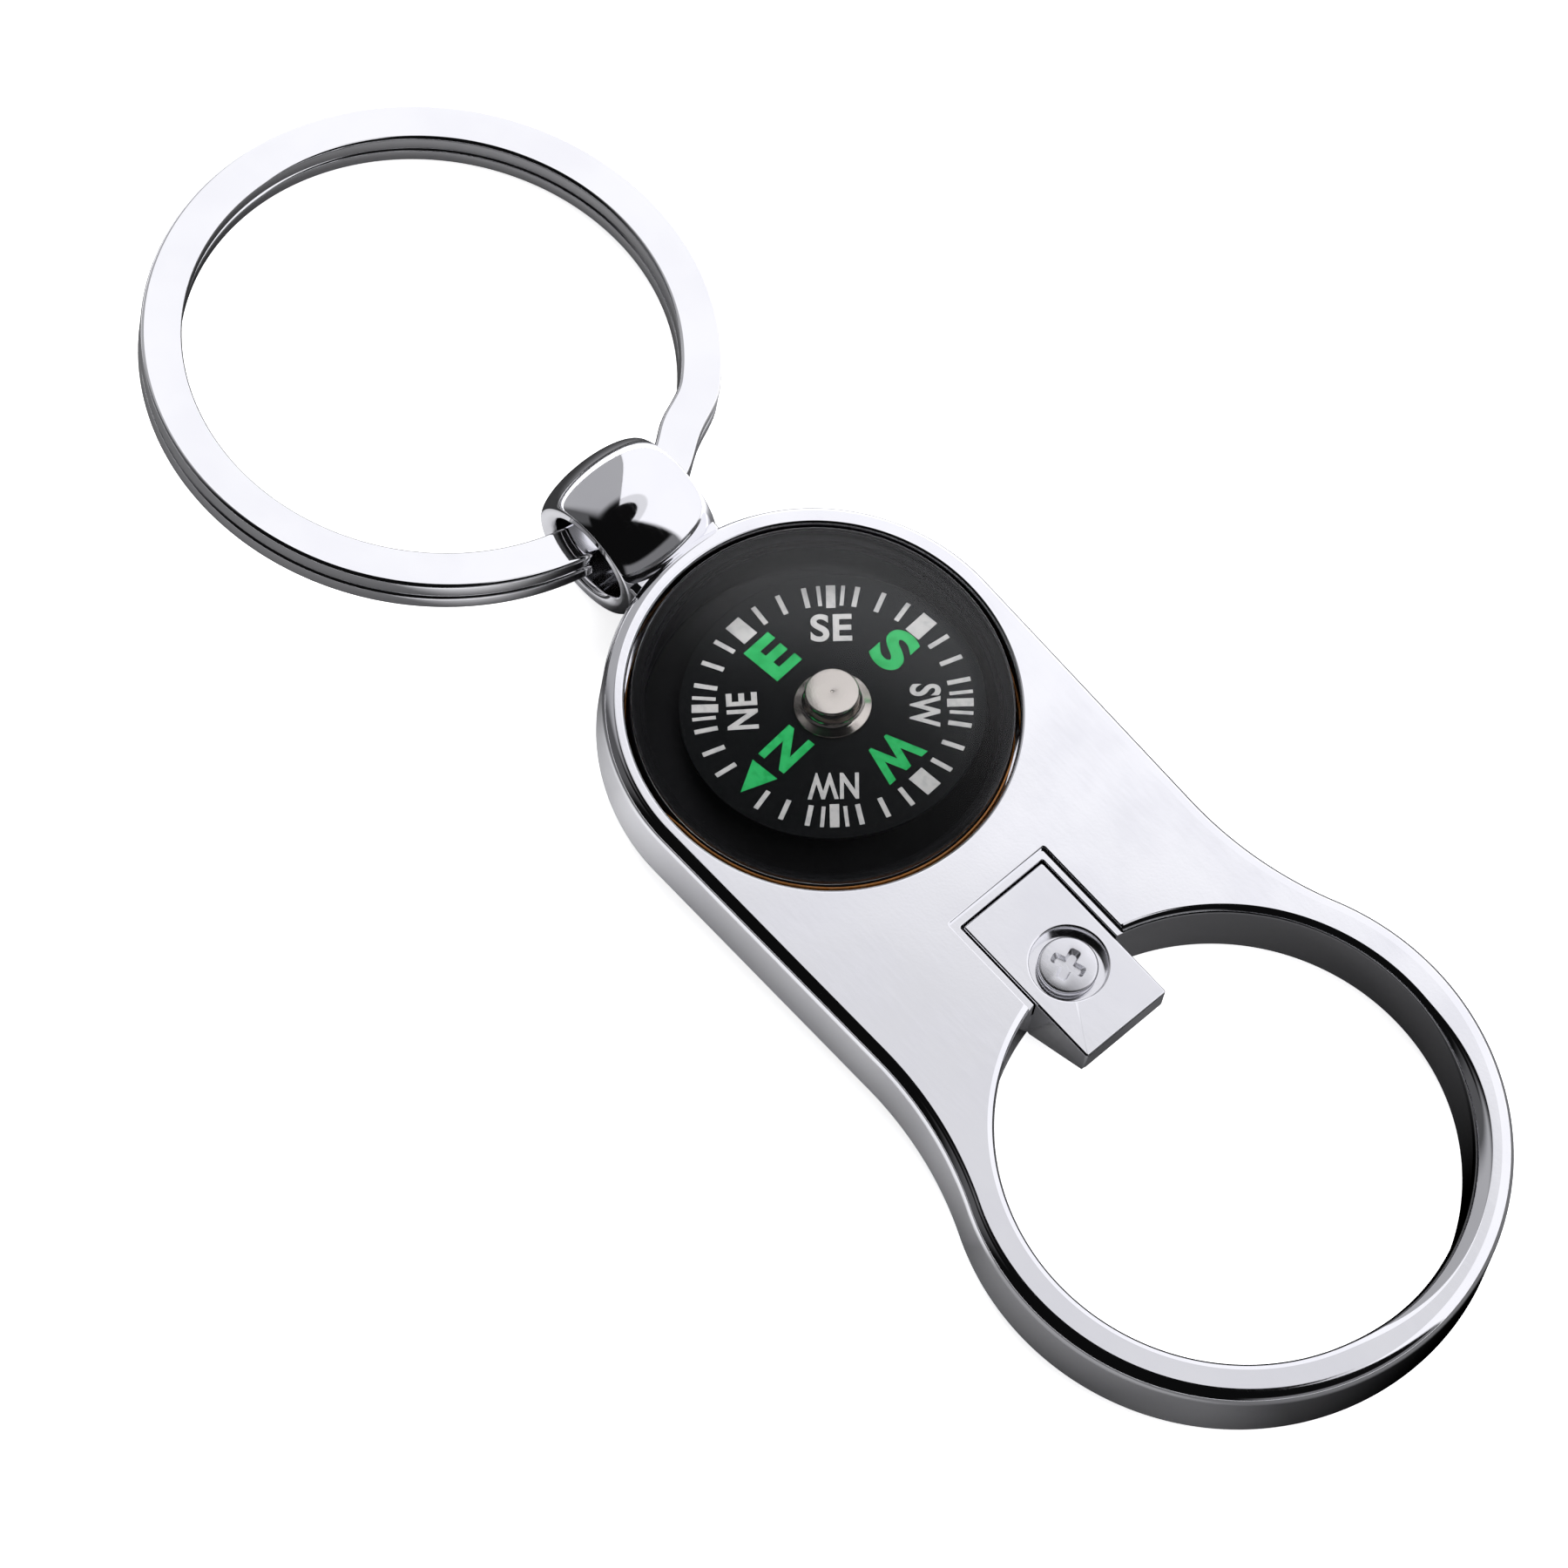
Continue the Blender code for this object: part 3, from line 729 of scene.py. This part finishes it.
def make_lifter(steel):
    outline = rectangle(LIFTER_X0, LIFTER_X1, LIFTER_W / 2, 0.16 * MM)
    plate = rounded_plate("cap_lifter", outline, LIFTER_SEAT, LIFTER_TOP, 0.06 * MM, 0.13 * MM, 5)
    seat = LIFTER_TOP - COUNTERBORE_T
    bore = mouth(COUNTERBORE_R, 0.13 * MM, LIFTER_TOP, 1)
    bore += [(COUNTERBORE_R, seat), (SCREW_R + GAP, seat), (SCREW_R + GAP, 0), (0, 0)]
    carve(plate, form(turned("counterbore", bore, 96), Matrix.Translation((SCREW_X, 0, 0))))
    return piece(plate, steel, "opener", OPENER, "lifter_steel", "lifter_plate")


def cross_arm(top, turn):
    """One bar of the cross recess: it narrows and shortens towards its bottom."""
    levels = ((top + 0.3 * MM, 1.0, 0.36), (top, 0.92, 0.3), (top - 0.3 * MM, 0.7, 0.2))
    rings = []
    for z, long, wide in levels:
        outline = rectangle(-long * MM, long * MM, wide * MM, min(wide * 0.8, 0.16) * MM, 4)
        rings.append([(x, y, z) for x, y in outline(0)])
    return form(loft("cross", rings), Matrix.Rotation(turn, 4, "Z"))


def make_screw(steel):
    seat = LIFTER_TOP - COUNTERBORE_T + GAP
    top = seat + SCREW_HEAD_T
    head = [
        (0, top),
        (SCREW_HEAD_R, top, 0.16 * MM),
        (SCREW_HEAD_R, seat, 0.05 * MM),
        (SCREW_R, seat, 0),
    ]
    pitch = 0.4 * MM
    depth = 0.14 * MM
    z = seat - pitch / 2
    thread = []
    while z - pitch / 2 > SCREW_TIP + 0.3 * MM:
        thread += [(SCREW_R, z), (SCREW_R - depth, z - pitch / 2)]
        z -= pitch
    tip = [(SCREW_R * 0.8, SCREW_TIP + 0.25 * MM), (SCREW_R * 0.5, SCREW_TIP), (0, SCREW_TIP)]
    screw = turned("cross_head_screw", soften(head + thread + tip, 0.03 * MM, 3), 96)
    for index in range(2):
        carve(screw, cross_arm(top, CROSS_TURN + index * math.pi / 2))
    place = OPENER @ Matrix.Translation((SCREW_X, 0, 0))
    return piece(screw, steel, "opener", place, "screw_steel", "lifter_screw")


# ---------------------------------------------------------------- compass


def glue_wave(a, z):
    """The glue squeezed out on the near side only, and unevenly. Elsewhere it stays in the gap."""
    if z < GLUE_TOP - 0.2 * MM:
        return 0
    uneven = 0.03 * MM * noise.noise((6 * math.cos(a), 6 * math.sin(a), 0.3))
    near = smoothstep((math.cos(a - GLUE_OUT_AT) - 0.2) / 0.35)
    return uneven - GLUE_SUNK * (1 - near)


def make_capsule(finish):
    inner = CASE_R - CASE_WALL
    floor_top = CASE_Z0 + CASE_FLOOR
    step_z = CASE_Z1 - 0.35 * MM
    case = [
        (0, floor_top),
        (inner - 0.25 * MM, floor_top, 0.2 * MM),
        (inner - 0.25 * MM, step_z),
        (inner, step_z),
        (inner, CASE_Z1),
        (CASE_R, CASE_Z1, 0.08 * MM),
        (CASE_R, CASE_Z0, 0.15 * MM),
        (0, CASE_Z0),
    ]
    cup = turned("capsule_cup", soften(case, 0.05 * MM))
    piece(cup, finish["black"], "opener", OPENER, "case_black", "compass_case")

    glue_in = CASE_R + GAP
    glue_out = glue_in + GLUE_T
    glue_z = RECESS_FLOOR + GAP / 2
    glue = [
        (glue_out, GLUE_TOP),
        (glue_out, glue_z),
        (0, glue_z),
        (0, CASE_Z0 - GAP),
        (glue_in, CASE_Z0 - GAP),
        (glue_in, GLUE_TOP),
    ]
    bead = turned("glue_bead", soften(glue, 0.04 * MM, 3), wave=glue_wave)
    piece(bead, finish["amber"], "opener", OPENER, "glue_amber", "compass_adhesive")

    lens_z = CASE_Z1 + GAP
    rim_top = lens_z + LENS_T
    rim_r = CASE_R - GAP
    rings = 24
    dome = []
    for i in range(rings):
        share = i / rings
        dome.append((rim_r * share, rim_top + LENS_DOME * (1 - share**2), 0))
    hollow = []
    for i in range(rings):
        share = 1 - i / rings
        hollow.append((LENS_HOLLOW_R * share, lens_z + LENS_HOLLOW * (1 - share**2), 0))
    hollow.append((0, lens_z + LENS_HOLLOW))
    lens = dome + [(rim_r, rim_top, LENS_EDGE_R), (rim_r, lens_z, 0.05 * MM)] + hollow
    glass = turned("capsule_lens", soften(lens, 0.0, 8))
    piece(glass, finish["clear"], "opener", OPENER, "lens_clear", "compass_lens")

    foot = floor_top + GAP
    step = foot + 0.25 * MM
    pin = [(0, PIVOT_Z), (PIN_R, PIVOT_Z - 0.6 * MM), (PIN_R, step), (0.9 * MM, step)]
    pin += [(0.9 * MM, foot), (0, foot)]
    needle = turned("needle", soften(pin, 0.06 * MM), 64)
    place = OPENER @ Matrix.Translation((PIVOT_X, PIVOT_Y, 0))
    piece(needle, finish["steel"], "opener", place, "pin_steel", "pivot_pin")


def text_outline(text, width, height, weight):
    """The mesh of a word in the built-in sans face, upright, centred and made to measure."""
    curve = bpy.data.curves.new("word", "FONT")
    curve.body = text
    curve.align_x = "CENTER"
    curve.offset = weight
    curve.space_character = 1.05
    curve.resolution_u = 8
    obj = bpy.data.objects.new("word", curve)
    bpy.context.scene.collection.objects.link(obj)
    graph = bpy.context.evaluated_depsgraph_get()
    mesh = bpy.data.meshes.new_from_object(obj.evaluated_get(graph))
    bpy.data.objects.remove(obj, do_unlink=True)
    xs = [v.co.x for v in mesh.vertices]
    ys = [v.co.y for v in mesh.vertices]
    size = (width / (max(xs) - min(xs)), height / (max(ys) - min(ys)), 1, 1)
    middle = Vector(((max(xs) + min(xs)) / 2, (max(ys) + min(ys)) / 2, 0))
    mesh.transform(Matrix.Diagonal(size) @ Matrix.Translation(-middle))
    return mesh


def raised(shape, faces, thickness):
    """Gives flat faces a thickness, upwards."""
    made = bmesh.ops.extrude_face_region(shape, geom=faces)
    top = [v for v in made["geom"] if isinstance(v, bmesh.types.BMVert)]
    bmesh.ops.translate(shape, verts=top, vec=(0, 0, thickness))


def add_shape(shape, points, place):
    corners = [shape.verts.new(place @ Vector((x, y, 0))) for x, y in points]
    return shape.faces.new(corners)


def bar(width, low, high):
    """A bar along +Y from low to high."""
    half = width / 2
    return [(-half, low), (half, low), (half, high), (-half, high)]


def pointing(bearing):
    """Turns +Y to a compass bearing on the card, in degrees clockwise from north."""
    return Matrix.Rotation(NORTH_AT - math.pi / 2 - math.radians(bearing), 4, "Z")


def ink_object(name, shape):
    """Closes the printed shapes into thin solids."""
    bmesh.ops.remove_doubles(shape, verts=shape.verts, dist=1e-7)
    bmesh.ops.recalc_face_normals(shape, faces=shape.faces)
    mesh = bpy.data.meshes.new(name)
    shape.to_mesh(mesh)
    shape.free()
    obj = bpy.data.objects.new(name, mesh)
    bpy.context.scene.collection.objects.link(obj)
    return obj


def add_word(shape, word, weight):
    """Prints a word with its top towards the card's rim. Its sizes are in millimetres."""
    text, bearing, low, high, width = word
    mesh = text_outline(text, width * MM, (high - low) * MM, weight)
    mesh.transform(pointing(bearing) @ Matrix.Translation((0, (low + high) / 2 * MM, 0)))
    before = set(shape.faces)
    shape.from_mesh(mesh)
    return [f for f in shape.faces if f not in before]


def make_print(white, green, card_place):
    light = bmesh.new()
    fresh = []
    inner = TICK_OUT - TICK_L
    for step in range(32):
        bearing = step * 360 / 32
        turn = pointing(bearing)
        if step == 0:
            continue
        if step % 8 == 0:
            fresh.append(add_shape(light, bar(0.93 * MM, inner - 0.15 * MM, TICK_OUT), turn))
        elif step % 4 == 0:
            fresh.append(add_shape(light, bar(0.48 * MM, inner - 0.15 * MM, TICK_OUT), turn))
            for side in (-1, 1):
                aside = Matrix.Rotation(math.radians(5.2 * side), 4, "Z")
                fresh.append(add_shape(light, bar(0.2 * MM, inner, TICK_OUT), aside @ turn))
        else:
            fresh.append(add_shape(light, bar(TICK_W, inner, TICK_OUT), turn))
    for word in SMALL_WORDS:
        fresh += add_word(light, word, 0.025)
    raised(light, fresh, INK_T)
    dark = bmesh.new()
    tip = [(-0.85 * MM, 5.04 * MM), (0.85 * MM, 5.04 * MM), (0, 6.85 * MM)]
    fresh = [add_shape(dark, tip, pointing(-1.5))]
    for word in LARGE_WORDS:
        fresh += add_word(dark, word, 0.04)
    raised(dark, fresh, INK_T)
    place = card_place @ Matrix.Translation((0, 0, CARD_TOP + 0.002 * MM))
    piece(ink_object("dial_print_white", light), white, "card", place, "card_print")
    piece(ink_object("dial_print_green", dark), green, "card", place, "card_print")


def make_card(finish):
    place = OPENER @ Matrix.Translation((PIVOT_X, PIVOT_Y, PIVOT_Z)) @ Matrix.Rotation(CARD_DIP, 4, "Y")
    foot = CARD_TOP - CARD_T
    disc = [(CARD_R, CARD_TOP), (CARD_R, foot), (CARD_BORE_R, foot), (CARD_BORE_R, CARD_TOP)]
    card = turned("dial_card", soften(disc, 0.04 * MM))
    piece(card, finish["card"], "card", place, "card_print", "compass_card")
    make_print(finish["white"], finish["green"], place)

    magnet_top = foot - GAP
    block = [
        (MAGNET_R, magnet_top),
        (MAGNET_R, magnet_top - MAGNET_T),
        (CARD_BORE_R, magnet_top - MAGNET_T),
        (CARD_BORE_R, magnet_top),
    ]
    magnet = turned("ring_magnet", soften(block, 0.08 * MM), 96)
    piece(magnet, finish["magnet"], "card", place, "magnet_ferrite", "card_magnet")

    hub_foot = CARD_TOP + GAP
    roof = HUB_TOP - 0.2 * MM
    hub = [
        (0, HUB_TOP - 0.03 * MM),
        (0.07 * MM, HUB_TOP - 0.03 * MM),
        (0.09 * MM, HUB_TOP),
        (HUB_TOP_R, HUB_TOP, 0.1 * MM),
        (HUB_TOP_R, hub_foot + 0.3 * MM, 0.35 * MM),
        (HUB_FOOT_R, hub_foot + 0.12 * MM, 0.08 * MM),
        (HUB_FOOT_R, hub_foot),
        (HUB_BORE_R, hub_foot),
        (HUB_BORE_R, roof),
        (0, roof),
    ]
    cap = turned("hub_cap", soften(hub, 0.01 * MM, 6), 128)
    piece(cap, finish["nickel"], "card", place, "hub_nickel", "bearing_hub")

    jewel_top = roof - GAP
    jewel_foot = jewel_top - JEWEL_T
    cup = [
        (0, jewel_top),
        (JEWEL_R, jewel_top),
        (JEWEL_R, jewel_foot),
        (0.5 * MM, jewel_foot),
        (0, jewel_top - 0.3 * MM),
    ]
    jewel = turned("jewel_cup", soften(cup, 0.05 * MM), 64)
    piece(jewel, finish["jewel"], "card", place, "jewel_glass", "bearing_jewel")


# ---------------------------------------------------------------- split ring


def make_ring(steel):
    """Flat wire wound twice. It drops from the upper turn to the lower one inside the barrel.

    Both turns are drawn in a little beside the barrel.
    """
    start = RING_CROSS_AT + RING_CROSS_ARC + RING_END_GAP
    end = start + 4 * math.pi - RING_CROSS_ARC - 2 * RING_END_GAP
    cross = RING_CROSS_AT + 2 * math.pi
    steps = round((end - start) / RING_STEP)
    half_w = RING_WIRE_W / 2
    half_t = RING_WIRE_T / 2
    section = rectangle(-half_w, half_w, half_t, RING_CORNER, 5)
    centre = Vector((-RING_MEAN_R - RING_HANG, 0, 0))
    rings = []
    for i in range(steps + 1):
        a = start + (end - start) * i / steps
        z = RING_PITCH * (0.5 - smoothstep((a - cross) / RING_CROSS_ARC))
        aside = math.remainder(a - RING_PINCH_AT, 2 * math.pi)
        pinch = RING_PINCH * smoothstep(1 - abs(aside) / RING_PINCH_ARC)
        outward = Vector((math.cos(a), math.sin(a), 0))
        middle = centre + outward * (RING_MEAN_R - pinch) + Vector((0, 0, z))
        rings.append([tuple(middle + outward * x + Vector((0, 0, y))) for x, y in section(0)])
    ring = loft("key_split_ring", rings)
    askew = Matrix.Rotation(RING_YAW, 4, "Z")
    lean = Matrix.Rotation(RING_SWING, 4, "Y") @ Matrix.Rotation(RING_ROLL, 4, "X")
    place = OPENER @ Matrix.Translation((BARREL_X, 0, BARREL_Z)) @ askew @ lean
    return piece(ring, steel, "key_ring", place, "ring_steel", "split_ring")


# ---------------------------------------------------------------- studio


def make_floor():
    """A plain pale floor with a painted glow that only the camera sees, which thins the shadows.

    In reflections it shows painted shade round the object, with a few painted pools of light.
    """
    half = 3.0
    corners = [(-half, -half, 0), (half, -half, 0), (half, half, 0), (-half, half, 0)]
    floor = mesh_object("floor", corners, [(0, 1, 2, 3)])
    material, g = new_material("pale_floor")
    where = g.place()

    def away(x, y):
        spot = (x * MM, y * MM, 0)
        return g.node("ShaderNodeVectorMath", [where, spot], operation="DISTANCE").outputs["Value"]

    # painted shade and light, seen only in reflections: light beyond the object, painted shade under the
    # split ring and the loop, and white far away
    seen = g.ramp(g.dot(where, facing(120, 0)), 14 * MM, 30 * MM, 0.12, 0.85)
    seen = g.math("MULTIPLY", seen, g.ramp(away(-29, 0), 12.5 * MM, 15.5 * MM, 0.25, 1.0))
    for x, y, inner, outer, light in PAINTED_FLOOR_POOLS:
        seen = g.math("MAXIMUM", seen, g.ramp(away(x, y), inner * MM, outer * MM, light, 0.0))
    seen = g.math("MULTIPLY", seen, g.ramp(away(37, 2), 7 * MM, 13.5 * MM))
    seen = g.math("MAXIMUM", seen, g.ramp(away(0, 0), 90 * MM, 200 * MM, 0.0, 0.93))
    # the painted shade and light as a colour, from black to near white
    tone = g.mix(seen, colour(0, 0, 0), colour(1.0, 1.0, 1.02))
    path = g.node("ShaderNodeLightPath")
    plain = colour(0.93, 0.93, 0.935)
    # glossy rays see the painted shade and light, all other rays see the plain pale colour
    reflection_paint = g.mix(path.outputs["Is Glossy Ray"], plain, tone)
    lit = g.node("ShaderNodeBsdfDiffuse", {"Color": reflection_paint})
    # painted glow: the floor is no lamp, it lights nothing, and only the camera sees this glow
    glow = g.math("MULTIPLY", path.outputs["Is Camera Ray"], 0.9)
    camera_glow = g.node("ShaderNodeEmission", {"Color": plain, "Strength": glow})
    shader = g.node("ShaderNodeAddShader", [lit.outputs[0], camera_glow.outputs[0]])
    surface(g, shader)
    floor.data.materials.append(material)


def facing(azimuth, elevation):
    a, e = math.radians(azimuth), math.radians(elevation)
    return Vector((math.cos(a) * math.cos(e), math.sin(a) * math.cos(e), math.sin(e)))


def make_world():
    """A white light tent on the far side, darker near its top, grey walls and a dark room.

    Azimuths run anticlockwise from +X, in degrees. The camera itself sees plain white.
    """
    world = bpy.data.worlds.new("studio")
    bpy.context.scene.world = world
    world.use_nodes = True
    g = Graph(world.node_tree)
    way = g.node("ShaderNodeTexCoord").outputs["Generated"]

    def sector(start, end, soft_start, soft_end):
        """1 between two upright edges less than half a turn apart."""
        after = g.ramp(g.dot(way, facing(start + 90, 0)), -soft_start, soft_start)
        before = g.ramp(g.dot(way, facing(end - 90, 0)), -soft_end, soft_end)
        return g.math("MULTIPLY", after, before)

    height = g.dot(way, (0, 0, 1))

    def under(elevation, soft):
        level = math.sin(math.radians(elevation))
        return g.ramp(height, level - soft, level + soft, 1.0, 0.0)

    tent = g.math("MULTIPLY", sector(25, 152, 0.03, 0.012), under(74.7, 0.003))
    tent_tone = g.ramp(height, math.sin(math.radians(66.3)), math.sin(math.radians(68.2)), 1.06, 0.77)
    level = g.math("MULTIPLY", tent, tent_tone)
    for start, end, soft_start, soft_end, top, soft_top, tone in GREY_WALLS:
        wall = g.math("MULTIPLY", sector(start, end, soft_start, soft_end), under(top, soft_top))
        level = g.math("MAXIMUM", level, g.math("MULTIPLY", wall, tone))
    level = g.math("ADD", level, 0.004)
    path = g.node("ShaderNodeLightPath")
    studio = g.node("ShaderNodeBackground", {"Color": colour(0.96, 0.96, 1.0), "Strength": level})
    plain = g.node("ShaderNodeBackground", {"Color": colour(1, 1, 1), "Strength": 1.0})
    shader = g.node(
        "ShaderNodeMixShader",
        [path.outputs["Is Camera Ray"], studio.outputs[0], plain.outputs[0]],
    )
    g.node("ShaderNodeOutputWorld", {"Surface": shader.outputs[0]})


def make_lamp(name, azimuth, elevation, distance, size, watts):
    """A soft lamp that lights the floor and the plastics, and doesn't show in the chrome."""
    data = bpy.data.lights.new(name, "AREA")
    data.shape = "DISK"
    data.size = size
    data.energy = watts
    lamp = bpy.data.objects.new(name, data)
    bpy.context.scene.collection.objects.link(lamp)
    spot = facing(azimuth, elevation) * distance
    lamp.location = spot
    lamp.rotation_euler = spot.to_track_quat("Z", "Y").to_euler()
    lamp.visible_glossy = False
    return lamp


def make_camera():
    aim = Vector(CAMERA_AIM)
    back = facing(math.degrees(CAMERA_AZIMUTH), math.degrees(CAMERA_ELEVATION))
    normal = Vector((0, 0, 1))
    level = (normal - back * normal.dot(back)).normalized()
    up = Matrix.Rotation(CAMERA_ROLL, 3, back) @ level
    right = up.cross(back)
    turn = Matrix((right, up, back)).transposed().to_4x4()
    data = bpy.data.cameras.new("camera")
    data.lens = CAMERA_LENS
    data.sensor_width = 36.0
    data.clip_start = 0.01
    data.clip_end = 20
    camera = bpy.data.objects.new("camera", data)
    bpy.context.scene.collection.objects.link(camera)
    camera.matrix_world = OPENER @ Matrix.Translation(aim + back * CAMERA_DISTANCE) @ turn
    bpy.context.scene.camera = camera


# ---------------------------------------------------------------- assembly

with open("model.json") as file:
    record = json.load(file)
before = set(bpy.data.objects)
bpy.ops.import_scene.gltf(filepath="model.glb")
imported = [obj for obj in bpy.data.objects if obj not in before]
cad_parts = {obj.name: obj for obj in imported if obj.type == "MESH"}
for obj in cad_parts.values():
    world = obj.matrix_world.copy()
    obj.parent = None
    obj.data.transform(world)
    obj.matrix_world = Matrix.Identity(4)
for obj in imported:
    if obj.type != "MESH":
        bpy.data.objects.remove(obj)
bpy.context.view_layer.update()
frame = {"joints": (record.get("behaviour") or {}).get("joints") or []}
OPENER = opener_frame()

make_camera()
make_world()
make_floor()
make_lamp("key", azimuth=155, elevation=48, distance=0.6, size=0.45, watts=4.0)
make_lamp("fill", azimuth=20, elevation=60, distance=0.6, size=0.6, watts=2.0)
bpy.context.scene.view_settings.view_transform = "Standard"

chrome = polished_metal(
    "chrome_plate",
    colour(0.93, 0.93, 0.95),
    colour(0.89, 0.89, 0.92),
    smooth=0.03,
    rough=0.1,
    swell=0.012 * MM,
    grain=0.0003 * MM,
)
lifter_steel = polished_metal(
    "plated_steel",
    colour(0.92, 0.92, 0.94),
    colour(0.87, 0.87, 0.9),
    smooth=0.06,
    rough=0.16,
    swell=0.008 * MM,
    grain=0.0004 * MM,
)
ring_steel = polished_metal(
    "nickel_ring",
    colour(0.94, 0.94, 0.95),
    colour(0.9, 0.9, 0.92),
    smooth=0.05,
    rough=0.12,
    swell=0.008 * MM,
    grain=0.0003 * MM,
)
screw_steel = polished_metal(
    "nickel_screw",
    colour(0.9, 0.9, 0.92),
    colour(0.84, 0.84, 0.87),
    smooth=0.24,
    rough=0.34,
    swell=0.004 * MM,
    grain=0.0006 * MM,
)
finishes = {
    "black": moulded_plastic(
        "black_cup",
        colour(0.003, 0.003, 0.0035),
        colour(0.006, 0.006, 0.007),
        smooth=0.55,
        rough=0.7,
        shine=0.15,
    ),
    "card": moulded_plastic(
        "black_card",
        colour(0.003, 0.0035, 0.004),
        colour(0.006, 0.0065, 0.007),
        smooth=0.6,
        rough=0.75,
        shine=0.15,
    ),
    "clear": clear_acrylic("clear_lens"),
    "amber": amber_glue("amber_glue"),
    "magnet": moulded_plastic(
        "ferrite", colour(0.03, 0.03, 0.033), colour(0.06, 0.055, 0.055), smooth=0.5, rough=0.7
    ),
    "nickel": polished_metal(
        "nickel_brass",
        colour(0.84, 0.77, 0.7),
        colour(0.76, 0.69, 0.62),
        smooth=0.1,
        rough=0.18,
        swell=0.003 * MM,
        grain=0.001 * MM,
    ),
    "jewel": glass_bead("jewel_glass"),
    "steel": polished_metal(
        "needle_steel",
        colour(0.82, 0.82, 0.84),
        colour(0.7, 0.7, 0.73),
        smooth=0.1,
        rough=0.25,
        swell=0.002 * MM,
        grain=0.0005 * MM,
    ),
    "white": printed_ink("white_ink", colour(0.64, 0.62, 0.60), colour(0.54, 0.53, 0.52)),
    "green": printed_ink("green_ink", colour(0.006, 0.52, 0.12), colour(0.004, 0.42, 0.09)),
}

make_casting(chrome)
make_lifter(lifter_steel)
make_screw(screw_steel)
make_capsule(finishes)
make_card(finishes)
make_ring(ring_steel)
